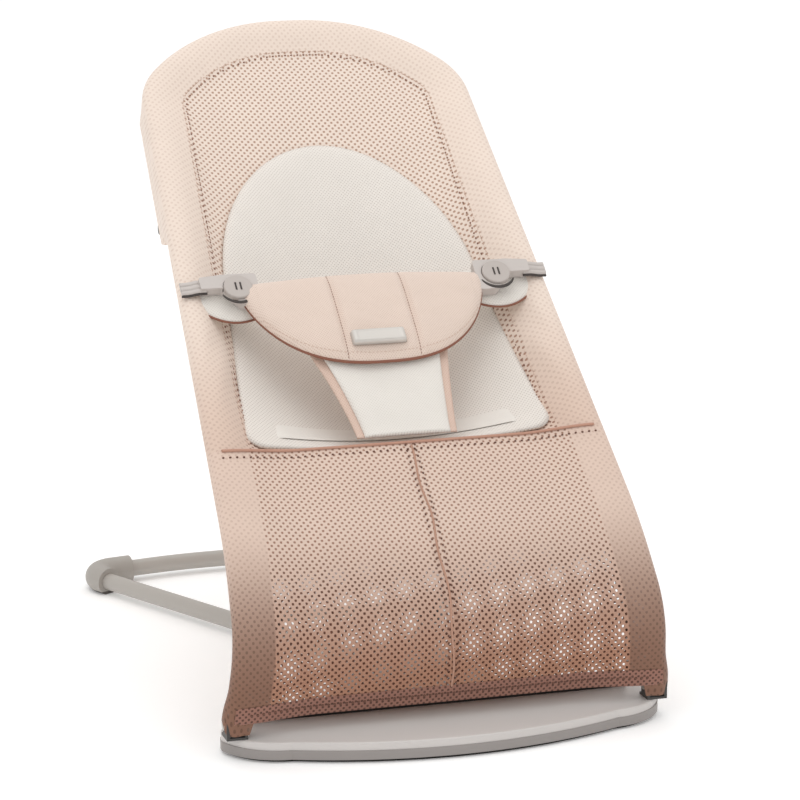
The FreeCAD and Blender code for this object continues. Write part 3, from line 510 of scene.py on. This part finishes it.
def dome_mesh(name, plan, centre, floor, thick, edge, rings=26):
    """Closed pad over an outline: an upper face that swells from a thin edge, and a lower face."""
    share = np.linspace(0, 1, rings) ** 0.7
    upper, lower = [], []
    for r in share:
        flat = np.array(centre) + (plan - np.array(centre)) * max(r, 0.004)
        base = floor(flat[:, 0], flat[:, 1])
        swell = edge + (thick - edge) * (1 - r ** 7) ** 0.5
        upper.append((flat, base + swell))
        lower.append((flat, base))
    loops = upper + lower[::-1]
    rows = np.stack([on_seat(f[:, 0], f[:, 1], o) for f, o in loops])
    chart = np.stack([f for f, _ in loops])
    return close_up(grid_mesh(name, rows, chart))


insert_mesh = knitted("knitted_spacer_mesh_white", "e9e3dc", "c9c0b8", 3.4, 3.6, hole=0.55, Roughness=0.85,
                      Sheen_Weight=0.2, Sheen_Roughness=0.5)
insert = as_piece("insert_cushion", dome_mesh("insert_cushion", egg_plan(220), (0.0, 0.39),
                  lambda x, along: 0.0016 - sag(x, along), INSERT_THICK, 0.0022), insert_mesh)
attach(insert, "seat")
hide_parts("insert_pad")


def ribbon_mesh(name, x0, x1, along0, along1, lift, columns, rows):
    """Thin cloth strip lying over the pocket, between two sides and two distances."""
    x = np.linspace(x0, x1, columns)[None, :] * np.ones((rows, 1))
    along = np.linspace(along0, along1, rows)[:, None] * np.ones((1, columns))
    edge = np.linspace(0, 1, rows)[:, None]
    edge = np.minimum(edge, 1 - edge) * np.ones((1, columns))
    off = lift - sag(x, along) - 0.0006 * (1 - smooth(edge * 6))
    off = off - 0.0062 * smooth((np.abs(x) / x1 - 0.80) / 0.2)
    return grid_mesh(name, on_seat(x, along, off), np.stack([x, along], axis=-1))


plain_tricot = knitted("tricot_binding_white", "ece7e0", "d8d1ca", 1.6, 1.6, hole=0.7, Roughness=0.8, Sheen_Weight=0.3)
strip = as_piece("insert_foot_strip", ribbon_mesh("insert_foot_strip", -0.126, 0.126, 0.2400, 0.2600,
                                                  0.0092, 90, 12), plain_tricot)
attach(strip, "seat")

# ------------------------------------------------------------------ leg cover
# The same mesh, doubled, runs from the pocket's front edge over the knees to the floor.  Its
# sides are sewn round the lower tubes as sleeves; its colour darkens towards the hem as painted shade.
LEG_FOOT_Z = 0.0338
LEG_SHIN = Vector((0, HINGE.y - 0.014, 0.100))
SLEEVE_FLARE = 0.0120
FLARE_DEEP = 0.0011  # how much deeper the sleeve is over the knuckle
LEG_BAND = 0.026
EAR_IN = 0.013
EAR_DEEP = 0.0104


def leg_path(step):
    """Side line of the leg cover, from its hem to the pocket's front edge."""
    foot = HINGE + (LEG_SHIN - HINGE) * ((LEG_FOOT_Z - HINGE.z) / (LEG_SHIN.z - HINGE.z))
    knee = Vector(on_seat(0.0, 0.112, 0.0))
    seam = Vector(on_seat(0.0, SEAM_ALONG + 0.001, 0.0))
    return bent([foot, LEG_SHIN, knee, seam], [0.060, 0.300], step)


def hem_back(inward, flare):
    """Depth of a sleeve's inner edge, which lies deeper low down, near the hinge's ears."""
    near = flare * (1 - float(smooth((inward - EAR_IN) / 0.008)))
    return (-0.0035 - SLEEVE * 0.6 * (1 - inward / LEG_BAND) ** 2) * (1 - near) - EAR_DEEP * near


def leg_mesh(name, behind, sleeve, step=0.0035):
    """One layer of the leg cover; the outer one closes round the tubes."""
    line = leg_path(step)
    way = directions(line)
    front = np.stack([np.zeros(len(line)), -way[:, 2], way[:, 1]], axis=1)
    run = run_along(line)
    # Painted shade: 'deep' runs from 0 at the pocket's front edge to 1 at the hem.
    deep = 1 - run / run[-1]
    grid, chart, rim = [], [], []
    for k, middle in enumerate(line):
        half = tube_half(middle[2])
        flare = 1 - smooth((run[k] - 0.004) / 0.026)
        wide = SLEEVE + (SLEEVE_FLARE - SLEEVE) * flare
        x, n, band = [], [], []
        if sleeve:
            for inward in np.linspace(LEG_BAND, 0.004, 6):
                x.append(half - inward)
                n.append(hem_back(inward, flare))
                band.append(0.0)
            for angle in np.radians(np.linspace(-100, 80, 15)):
                x.append(half + wide * math.cos(angle))
                n.append((SLEEVE + FLARE_DEEP * flare) * math.sin(angle))
                band.append(0.0)
        reach = half - 0.004 if sleeve else half - LEG_BAND + 0.004
        for across in np.linspace(reach, -reach, 121):
            inward = half - abs(across)
            x.append(across)
            n.append(float(face_off(inward)) - behind)
            band.append(inward)
        if sleeve:
            for angle in np.radians(np.linspace(80, -100, 15)):
                x.append(-half - wide * math.cos(angle))
                n.append((SLEEVE + FLARE_DEEP * flare) * math.sin(angle))
                band.append(0.0)
            for inward in np.linspace(0.004, LEG_BAND, 6):
                x.append(inward - half)
                n.append(hem_back(inward, flare))
                band.append(0.0)
        x, n = np.array(x), np.array(n)
        drop = 0.0105 * (1 - smooth(run[k] / 0.012)) * smooth((n - 0.001) / 0.006)
        drop = drop * (np.abs(x) > half - 0.013) * sleeve
        middle = np.array(middle)[None, :] - way[k][None, :] * drop[:, None]
        middle = middle.T
        grid.append(np.stack([x, middle[1] + n * front[k, 1], middle[2] + n * front[k, 2]], axis=1))
        arc = np.concatenate([[0], np.cumsum(np.hypot(np.diff(x), np.diff(n)))])
        chart.append(np.stack([arc - arc[-1] / 2, np.full(len(x), run[k])], axis=1))
        rim.append(band)
    grid = np.stack(grid)
    fade = np.repeat(deep[:, None], grid.shape[1], axis=1)
    return grid_mesh(name, grid, np.stack(chart), {"rim": np.array(rim), "deep": fade})


# The fade colours of both layers are painted shade, darker towards the hem.
leg_knit = knitted("knitted_polyester_mesh_painted_shade", "dbc3b4", "a67f6b", 6.0, 6.2, hole=0.46, through=1.0,
                   band=0.026, fade=("a5775f", "6b4637"), Roughness=0.82, Sheen_Weight=0.2, Sheen_Roughness=0.5)
back_knit = knitted("knitted_polyester_mesh_lining", "b08b78", "7e5a49", 6.9, 7.1, hole=0.34, through=1.0, turn=0.105,
                    fade=("946854", "5d3c2f"), Roughness=0.85)
leg = as_piece("leg_cover", leg_mesh("leg_cover", 0.0, True), leg_knit)
lining = as_piece("leg_cover_lining", leg_mesh("leg_cover_lining", 0.0028, False), back_knit)
for layer in (leg, lining):
    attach(layer, "seat")
    size = (0.46, 0.27) if layer is leg else (0.34, 0.27)
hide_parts("leg_panel", "leg_band_left", "leg_band_right")


def cord_mesh(name, line, radius, flat=1.0, sides=10):
    """Closed round or flattened cord through points; radius may differ from point to point."""
    line = np.asarray(line, float)
    radius = np.broadcast_to(radius, len(line))
    way = directions(line)
    up = np.array([0.0, -math.sin(SLOPE), math.cos(SLOPE)])
    side = np.cross(way, up)
    side /= np.linalg.norm(side, axis=1)[:, None]
    top = np.cross(side, way)
    turn = np.linspace(0, 2 * math.pi, sides, endpoint=False)
    rings = [line[k] + radius[k] * (np.outer(np.cos(turn), side[k]) + flat * np.outer(np.sin(turn), top[k]))
             for k in range(len(line))]
    mesh = bpy.data.meshes.new(name)
    count = len(line)
    faces = [(k * sides + i, k * sides + (i + 1) % sides, (k + 1) * sides + (i + 1) % sides, (k + 1) * sides + i)
             for k in range(count - 1) for i in range(sides)]
    faces += [tuple(range(sides))[::-1], tuple((count - 1) * sides + i for i in range(sides))]
    mesh.from_pydata(np.concatenate(rings).tolist(), [], faces)
    shell = bmesh.new()
    shell.from_mesh(mesh)
    bmesh.ops.recalc_face_normals(shell, faces=shell.faces)
    shell.to_mesh(mesh)
    shell.free()
    mesh.shade_smooth()
    return mesh


def leg_points(x, lift, low, high, count):
    """Points on the leg cover's face at a distance from its middle, from hem to seam."""
    line = leg_path(0.002)
    way = directions(line)
    share = np.linspace(low, high, count) * (len(line) - 1)
    k = np.arange(len(line))
    place = np.stack([np.interp(share, k, line[:, i]) for i in range(3)], axis=1)
    front = np.stack([np.interp(share, k, v) for v in (np.zeros(len(line)), -way[:, 2], way[:, 1])], axis=1)
    inward = tube_half(place[:, 2]) - abs(x)
    n = face_off(inward) + lift
    place[:, 0] = x
    return place + front * n[:, None]


# The seams are welts of terracotta tape: one down the middle of the leg cover, one along the
# pocket's front edge, and a doubled hem along the bottom.
terracotta = grained("polyester_tape_terracotta", "8a5b4a", 0.9, 0.12, 0.10, Roughness=0.85)
hem_tape = knitted("knitted_polyester_mesh_hem", "94695a", "5a3a2f", 5.2, 5.2, hole=0.30, Roughness=0.85,
                   Sheen_Weight=0.2)
middle_line = leg_points(0.0, 0.0004, 0.05, 0.985, 120)
middle_line[:, 0] += 0.0012 * np.sin(np.linspace(0, 21, 120))
middle_tape = grained("polyester_tape_rose", "b58c78", 0.9, 0.10, 0.10, Roughness=0.85)
middle_seam = as_piece("leg_middle_seam", cord_mesh("leg_middle_seam", middle_line, 0.0009, 0.4), middle_tape)
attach(middle_seam, "seat")
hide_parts("seam_tape")

across = np.linspace(-1, 1, 120)
seam_half = float(half_at(SEAM_ALONG)) - 0.002
inward = seam_half * (1 - np.abs(across))
seam_line = on_seat(across * seam_half, SEAM_ALONG, face_off(inward) + 0.0008)
rose_welt = grained("polyester_welt_rose", "bb8f7c", 0.9, 0.12, 0.10, Roughness=0.85)
front_seam = as_piece("pocket_front_seam", cord_mesh("pocket_front_seam", seam_line, 0.0013, 0.8), rose_welt)
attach(front_seam, "seat")
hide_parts("front_webbing")


def leg_line_at(share):
    """A point on the middle of the leg cover's own plane, a share of the way up from the hem."""
    line = leg_path(0.002)
    return np.array([np.interp(share * (len(line) - 1), np.arange(len(line)), line[:, i]) for i in range(3)])


hem_rows = [leg_line_at(share) for share in np.linspace(0.0, 0.062, 8)]
foot_way = Vector(hem_rows[-1]) - Vector(hem_rows[0])
foot_front = np.array([0.0, -foot_way.z, foot_way.y]) / foot_way.length
hem_x = np.linspace(-1, 1, 110)
hem_grid = []
for k, row in enumerate(hem_rows):
    reach = tube_half(row[2]) + 0.004
    inward = np.clip(reach - 0.004 - np.abs(hem_x * reach), 0, None)
    n = face_off(inward) + 0.0009 - 0.0005 * (k in (0, 7))
    hem_grid.append(np.stack([hem_x * reach, row[1] + n * foot_front[1], row[2] + n * foot_front[2]], axis=1))
hem_grid = np.stack(hem_grid)
hem = as_piece("leg_hem", grid_mesh("leg_hem", hem_grid, hem_grid[..., [0, 2]]), hem_tape)
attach(hem, "seat")
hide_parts("hem_band")

# ------------------------------------------------------------------ restraint belt
# A padded boat-shaped panel of the same knit, quilted down two vertical lines so that it
# bows out in three lobes.  A terracotta piping closes its curved lower edge.
BELT_WIDE = 0.1120
BELT_TOP = 0.3880
BELT_DROP = 0.0990
BELT_FOOT = 0.2890
BELT_THICK = 0.0115
BELT_ASIDE = -0.0065
CHANNELS = (-0.033, 0.033)


def belt_low(x):
    """Lower edge of the belt at a distance across."""
    share = np.clip(np.abs(x) / BELT_WIDE, 0, 1)
    return BELT_TOP - 0.004 - (BELT_DROP - 0.004) * (1 - share ** 2.5) ** 0.62


def belt_base(x):
    """How far the belt's inner face stands off the tube plane."""
    return 0.0205 - 0.0085 * (x / BELT_WIDE) ** 2


def belt_face(x, share):
    """Height of the outer face over the inner one, pillowed between its edges and channels."""
    crown = (1 - np.abs(2 * share - 1) ** 3.2) ** 0.6
    ends = (1 - (np.abs(x) / BELT_WIDE) ** 8) ** 0.5
    groove = sum(np.exp(-((x - c) / 0.0030) ** 2) for c in CHANNELS)
    lobes = 1 - 0.42 * groove - 0.10 * np.cos(2 * math.pi * x / 0.066) * (np.abs(x) < 0.099)
    return 0.0026 + (BELT_THICK - 0.0026) * crown * ends * lobes


belt_x = np.linspace(-1, 1, 151)
belt_x = BELT_WIDE * 0.999 * np.sign(belt_x) * np.abs(belt_x) ** 0.92
share = (1 - np.cos(np.linspace(0, math.pi, 27))) / 2
columns, belt_chart = [], []
for x in belt_x:
    low = float(belt_low(x))
    along = low + (BELT_TOP - low) * share
    crease = 0.0005 * np.sin(along * 320 + x * 45) * np.sin(x * 90) * (1 - np.abs(2 * share - 1))
    face = belt_base(x) + belt_face(x, share) + crease
    back = belt_base(x) + 0.0 * share
    ring_along = np.concatenate([along, along[::-1]])
    columns.append(on_seat(x + BELT_ASIDE, ring_along, np.concatenate([face, back[::-1]])))
    belt_chart.append(np.stack([np.full(len(ring_along), x), ring_along], axis=1))
columns = np.stack(columns)
columns = np.concatenate([columns, columns[:, :1]], axis=1)
belt_chart = np.stack(belt_chart)
belt_chart = np.concatenate([belt_chart, belt_chart[:, :1]], axis=1)
belt_knit = knitted("knitted_polyester_jersey_peach", "e4d1c4", "cdb4a5", 2.4, 2.6, hole=0.55, Roughness=0.8,
                    Sheen_Weight=0.3, Sheen_Roughness=0.45)
belt = as_piece("belt_pad", close_up(grid_mesh("belt_pad", columns, belt_chart)), belt_knit)
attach(belt, "restraint")
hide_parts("belt")

edge_x = np.linspace(-0.1095, 0.1095, 120)
edge_line = on_seat(edge_x + BELT_ASIDE, belt_low(edge_x) - 0.0004, belt_base(edge_x) + 0.0013)
thick = 0.0008 + 0.0007 * (1 - (np.abs(edge_x) / 0.1095) ** 2)
piping = as_piece("belt_piping", cord_mesh("belt_piping", edge_line, thick), terracotta)
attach(piping, "restraint")

# ------------------------------------------------------------------ crotch panel
# An off-white padded strip rises from the pocket's front edge to the belt, over a wider pink
# lining, whose pink at the strip's sides is partly painted shade.  Both are sewn into the front
# seam and swing with the belt.
CROTCH_FOOT = 0.2195
CROTCH_TOP = 0.316


def strip_pad(name, half_low, half_high, along0, along1, off0, off1, thick):
    """Padded strip rising off the seat between two distances."""
    t = np.linspace(0, 1, 46)
    u = np.linspace(-1, 1, 41)
    lift = off0 + (off1 - off0) * smooth(t * 1.25)
    half = half_low + (half_high - half_low) * t ** 1.3
    crown = (1 - np.abs(u) ** 5) ** 0.6
    grid, chart = [], []
    for k in range(len(t)):
        x = u * half[k] + BELT_ASIDE * smooth(t[k])
        along = np.full(len(u), along0 + (along1 - along0) * t[k])
        wave = 0.0006 * np.sin(u * 5 + t[k] * 9) * np.sin(t[k] * math.pi) * (1 - u * u)
        swell = 0.4 + 0.6 * math.sin(math.pi * min(1, t[k] * 1.3 + 0.1))
        face = lift[k] + 0.0012 + (thick - 0.0012) * crown * swell + wave
        back = np.full(len(u), lift[k])
        ring = np.stack([np.concatenate([x, x[::-1]]), np.concatenate([along, along]),
                         np.concatenate([face, back])], axis=1)
        ring = np.concatenate([ring, ring[:1]])
        grid.append(on_seat(ring[:, 0], ring[:, 1], ring[:, 2]))
        chart.append(ring[:, :2])
    return close_up(grid_mesh(name, np.stack(grid), np.stack(chart)))


crotch_knit = knitted("knitted_polyester_jersey_white", "e8e3dc", "d5cec6", 2.6, 2.8, hole=0.6, Roughness=0.82,
                      Sheen_Weight=0.25, Sheen_Roughness=0.5)
# Partly painted shade: the pink lining also stands for the shaded sides of the strip.
pink_jersey_and_painted_shade = knitted("knitted_polyester_jersey_pink_and_painted_shade", "dcc2b3", "c8a897", 2.6, 2.8, hole=0.6, Roughness=0.85)
crotch = as_piece("crotch_strip", strip_pad("crotch_strip", 0.0385, 0.0560, CROTCH_FOOT, CROTCH_TOP, 0.0048, 0.0138,
                                            0.0060), crotch_knit)
under = as_piece("crotch_lining", strip_pad("crotch_lining", 0.0450, 0.0640, CROTCH_FOOT + 0.001, CROTCH_TOP - 0.003,
                                            0.0030, 0.0115, 0.0020), pink_jersey_and_painted_shade)
for layer in (crotch, under):
    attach(layer, "restraint")
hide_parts("crotch_panel")

# ------------------------------------------------------------------ buckles and side tabs
# Each side tab is a small padded wing sewn to the rim under a stud plate.  The buckles are
# moulded nylon with a round push button, a curved slot under it and two grip ribs on it.
# The slot, the ribs and a thin line under the stubs are dark cords of painted shadow.
buckle_nylon = grained("moulded_nylon_warm_grey", "c2bab5", 0.6, 0.03, 0.02, Roughness=0.33)
button_nylon = grained("moulded_nylon_button_grey", "b6ada7", 0.6, 0.03, 0.02, Roughness=0.3)
for name in ("buckle_left", "buckle_right", "stud_plate_left", "stud_plate_right", "button_leaf_left",
             "button_leaf_right"):
    dress(name, buckle_nylon)
for name in ("push_button_left", "push_button_right"):
    dress(name, button_nylon)
BUCKLE_ALONG = 0.383
BUCKLE_RIM = 0.0190
BUTTON_TOP = 0.0215
TAB_LOW = 0.356
buckle_out = float(half_at(BUCKLE_ALONG)) - SLEEVE + 0.001
buckle_in = buckle_out - 0.052
button_x = buckle_in + 0.019
# Painted shadow: dark colour for the slot, the grip ribs and the line under the stubs.
slot_painted_shadow = grained("painted_slot_shadow", "413a37", 0.6, 0.02, 0.05, Roughness=0.7)
for word, side in (("left", -1), ("right", 1)):
    turn = np.radians(np.linspace(205, 335, 40))
    smile = on_seat(side * button_x + 0.0165 * np.cos(turn), BUCKLE_ALONG + 0.001 + 0.0165 * np.sin(turn),
                    BUCKLE_RIM + 0.0001)
    width = 0.0004 + 0.0013 * np.sin(np.linspace(0, math.pi, 40)) ** 0.6
    groove = as_piece("buckle_slot_" + word, cord_mesh("buckle_slot_" + word, smile, width, 0.35), slot_painted_shadow)
    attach(groove, "restraint")
    for rib in (-1, 1):
        x = side * button_x + rib * 0.0022
        line = on_seat(np.full(12, x), BUCKLE_ALONG + 0.001 + np.linspace(-0.0040, 0.0040, 12), BUTTON_TOP + 0.0001)
        label = "button_rib_" + word + ("_inner" if rib * side < 0 else "_outer")
        grip = as_piece(label, cord_mesh(label, line, 0.0008, 0.8), slot_painted_shadow)
        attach(grip, "button_" + word)
    stub_x = np.linspace(buckle_out - 0.006, buckle_out + 0.0165, 26)
    rise = 0.0150 - 0.0022 * smooth((stub_x - buckle_out) / 0.012)
    for row, (shift, radius) in enumerate(((0.0125, 0.0026), (0.0078, 0.0030), (0.0035, 0.0024))):
        label = "buckle_stub_%s_%d" % (word, row + 1)
        line = on_seat(side * stub_x, np.full(26, BUCKLE_ALONG + shift), rise)
        stub = as_piece(label, cord_mesh(label, line, radius, 0.62), buckle_nylon)
        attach(stub, "restraint")
    label = "buckle_stub_shadow_" + word
    line = on_seat(side * stub_x, np.full(26, BUCKLE_ALONG + 0.0005), rise - 0.0012)
    under_stub = as_piece(label, cord_mesh(label, line, 0.0011, 0.9), slot_painted_shadow)
    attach(under_stub, "restraint")
    tab_x = np.linspace(buckle_in - 0.006, buckle_out + 0.006, 40)
    share = (tab_x - tab_x[0]) / (tab_x[-1] - tab_x[0])
    low = TAB_LOW + 0.010 * (2 * share - 1) ** 2 + 0.012 * share ** 3
    rows = (1 - np.cos(np.linspace(0, math.pi, 15))) / 2
    grid, chart = [], []
    for k, x in enumerate(tab_x):
        along = low[k] + (0.401 - low[k]) * rows
        face = 0.0034 + 0.0044 * (1 - np.abs(2 * rows - 1) ** 4) ** 0.6 * (1 - abs(2 * share[k] - 1) ** 8) ** 0.5
        ring = np.stack([np.full(30, x), np.concatenate([along, along[::-1]]),
                         np.concatenate([face, np.full(15, 0.0022)])], axis=1)
        ring = np.concatenate([ring, ring[:1]])
        grid.append(on_seat(side * ring[:, 0], ring[:, 1], ring[:, 2]))
        chart.append(ring[:, :2])
    mesh = grid_mesh("side_wing_" + word, np.stack(grid), np.stack(chart))
    wing = as_piece("side_wing_" + word, close_up(mesh), crotch_knit)
    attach(wing, "seat")
    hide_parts("side_tab_" + word)
    line = on_seat(side * tab_x, low - 0.0006, np.full(40, 0.0040))
    trim = as_piece("side_wing_piping_" + word, cord_mesh("side_wing_piping_" + word, line, 0.0010), terracotta)
    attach(trim, "seat")

# A blank woven label in a thin satin frame is stitched to the belt.
label_satin = grained("satin_label_silver", "cfcac4", 0.5, 0.05, 0.08, Roughness=0.4, Metallic=0.15)
label_x = np.linspace(-1, 1, 57)
label_rows = np.linspace(-1, 1, 19)
label_rim = np.maximum(np.abs(label_x)[None, :] ** 12, np.abs(label_rows)[:, None] ** 8)
label_frame = (label_rim > 0.12) * (label_rim < 0.6)
label_face = 0.0338 + 0.0011 * np.sqrt(np.clip(1 - label_rim, 0, 1)) + 0.0004 * label_frame
label_grid = on_seat((label_x * 0.0235 - 0.0105)[None, :], (0.3085 + label_rows * 0.0062)[:, None],
                     label_face - 0.0028 * (label_rim > 0.999))
label = as_piece("belt_label", grid_mesh("belt_label", label_grid, label_grid[..., [0, 2]]), label_satin)
thicken = label.modifiers.new("body", "SOLIDIFY")
thicken.thickness = 0.0012
thicken.offset = -1.0
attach(label, "restraint")
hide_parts("label_plate")

# ------------------------------------------------------------------ sewing
# Lockstitch in brown and peach polyester thread holds the belt's channels, the rim band, the
# front seam and the hem.  One stitch is a short rounded bar, laid end to end along a line.
# The dark bars along the leg seam, the front seam and the hem are painted shadow in the eyelets.
def stitches(name, lines, pitch, length, width, thread):
    """Stitches laid along lines of points, made into one plain mesh."""
    path = bpy.data.meshes.new(name)
    starts = np.cumsum([0] + [len(line) for line in lines])
    pairs = [(int(s) + k, int(s) + k + 1) for s, line in zip(starts, lines) for k in range(len(line) - 1)]
    path.from_pydata(np.concatenate(lines).tolist(), pairs, [])
    holder = bpy.data.objects.new(name, path)
    bpy.context.scene.collection.objects.link(holder)
    tree = bpy.data.node_groups.new("lockstitch", "GeometryNodeTree")
    tree.interface.new_socket("Line", in_out="INPUT", socket_type="NodeSocketGeometry")
    sockets = {}
    for label in ("Pitch", "Length", "Width"):
        sockets[label] = tree.interface.new_socket(label, in_out="INPUT", socket_type="NodeSocketFloat").identifier
    tree.interface.new_socket("Geometry", in_out="OUTPUT", socket_type="NodeSocketGeometry")
    given = add(tree, "NodeGroupInput")
    curve = add(tree, "GeometryNodeMeshToCurve", {"Mesh": given.outputs["Line"]})
    spaced = add(tree, "GeometryNodeResampleCurve", {"Curve": curve.outputs[0]}, mode="LENGTH")
    tree.links.new(given.outputs["Pitch"], spaced.inputs["Length"])
    bar = add(tree, "GeometryNodeMeshUVSphere", {"Segments": 6, "Rings": 5, "Radius": 0.5})
    slim = add(tree, "ShaderNodeCombineXYZ", {"X": given.outputs["Width"], "Y": given.outputs["Width"],
                                              "Z": given.outputs["Length"]})
    heading = add(tree, "FunctionNodeAlignRotationToVector", {
        "Vector": add(tree, "GeometryNodeInputTangent").outputs[0]}, axis="Z")
    laid = add(tree, "GeometryNodeInstanceOnPoints", {
        "Points": spaced.outputs[0], "Instance": bar.outputs[0], "Rotation": heading.outputs[0],
        "Scale": slim.outputs[0]})
    solid = add(tree, "GeometryNodeRealizeInstances", {"Geometry": laid.outputs[0]})
    finish = add(tree, "GeometryNodeSetMaterial", {"Geometry": solid.outputs[0], "Material": thread})
    ended = add(tree, "NodeGroupOutput")
    tree.links.new(finish.outputs[0], ended.inputs[0])
    sewn = holder.modifiers.new("lockstitch", "NODES")
    sewn.node_group = tree
    for label, value in (("Pitch", pitch), ("Length", length), ("Width", width)):
        sewn[sockets[label]] = value
    graph = bpy.context.evaluated_depsgraph_get()
    made = bpy.data.meshes.new_from_object(holder.evaluated_get(graph))
    holder.modifiers.remove(sewn)
    holder.data = made
    bpy.data.meshes.remove(path)
    made.name = name
    made.shade_smooth()
    return holder


brown_thread = grained("polyester_thread_brown", "8f6a5a", 0.3, 0.05, 0.08, Roughness=0.6)
peach_thread = grained("polyester_thread_peach", "cdb09f", 0.3, 0.05, 0.06, Roughness=0.6)
# Painted shadow: dark bars in the sewn eyelets along the seams and the hem.
eyelet_painted_shadow = grained("painted_eyelet_shadow", "6b4a3d", 0.3, 0.05, 0.05, Roughness=0.8)


def belt_line(x, low, high, count):
    """Points down the belt's face at a distance across."""
    share = np.linspace(low, high, count)
    start = float(belt_low(x))
    off = belt_base(x) + belt_face(x, share) + 0.0002
    return on_seat(np.full(count, x + BELT_ASIDE), start + (BELT_TOP - start) * share, off)


channel_lines = [belt_line(c, 0.02, 0.98, 60) for c in CHANNELS]
edge_share = np.full(100, 0.06)
edge_run = np.linspace(-0.098, 0.098, 100)
hugging = on_seat(edge_run + BELT_ASIDE, belt_low(edge_run) + (BELT_TOP - belt_low(edge_run)) * edge_share,
                  belt_base(edge_run) + belt_face(edge_run, edge_share) + 0.0002)
middle_dots = [leg_points(x, 0.0004, 0.07, 0.985, 140) for x in (-0.0042, 0.0042)]
rim_plan = bent(*head_plan(SEAM_ALONG + 0.02), 0.004)
rim_way = directions(rim_plan)
rim_in = np.stack([rim_way[:, 1], -rim_way[:, 0]], axis=1)


def rim_line(depth):
    """A line round the head of the cover, a distance inside the tube's centre."""
    plan = rim_plan + rim_in * depth
    hang = -sag(plan[:, 0], plan[:, 1])
    off = hang * smooth(depth / POCKET_EASE) + SLEEVE * (1 - smooth(depth / ROLL_OFF)) + 0.0003
    return on_seat(plan[:, 0], plan[:, 1], off)


foot_row = leg_line_at(0.033)
foot_half = tube_half(foot_row[2]) - 0.010
foot_x = np.linspace(-1, 1, 100) * foot_half
foot_n = face_off(foot_half + 0.010 - np.abs(foot_x)) + 0.0012
hem_line = np.stack([foot_x, foot_row[1] + foot_n * foot_front[1], foot_row[2] + foot_n * foot_front[2]], axis=1)
below = on_seat(across * seam_half, SEAM_ALONG - 0.007,
                face_off(seam_half * (1 - np.abs(across))) + 0.0003)

for name, lines, pitch, length, width, thread, body, slot in (
    ("belt_channel_stitches", channel_lines, 0.0030, 0.0024, 0.0007, brown_thread, "restraint", "belt_pink"),
    ("belt_edge_stitches", [hugging], 0.0036, 0.0022, 0.0006, peach_thread, "restraint", "belt_pink"),
    ("leg_seam_eyelets", middle_dots, 0.0062, 0.0022, 0.0018, eyelet_painted_shadow, "seat", "mesh_leg"),
    ("rim_band_stitches", [rim_line(0.0290)], 0.0044, 0.0026, 0.0007, peach_thread, "seat", "mesh_leg"),
    ("rim_eyelets", [rim_line(0.0325)], 0.0060, 0.0021, 0.0017, brown_thread, "seat", "mesh_leg"),
    ("hem_eyelets", [hem_line], 0.0052, 0.0024, 0.0021, eyelet_painted_shadow, "seat", "mesh_leg"),
    ("front_seam_eyelets", [below], 0.0060, 0.0022, 0.0018, eyelet_painted_shadow, "seat", "mesh_leg"),
):
    row = stitches(name, lines, pitch, length, width, thread)
    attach(row, body)
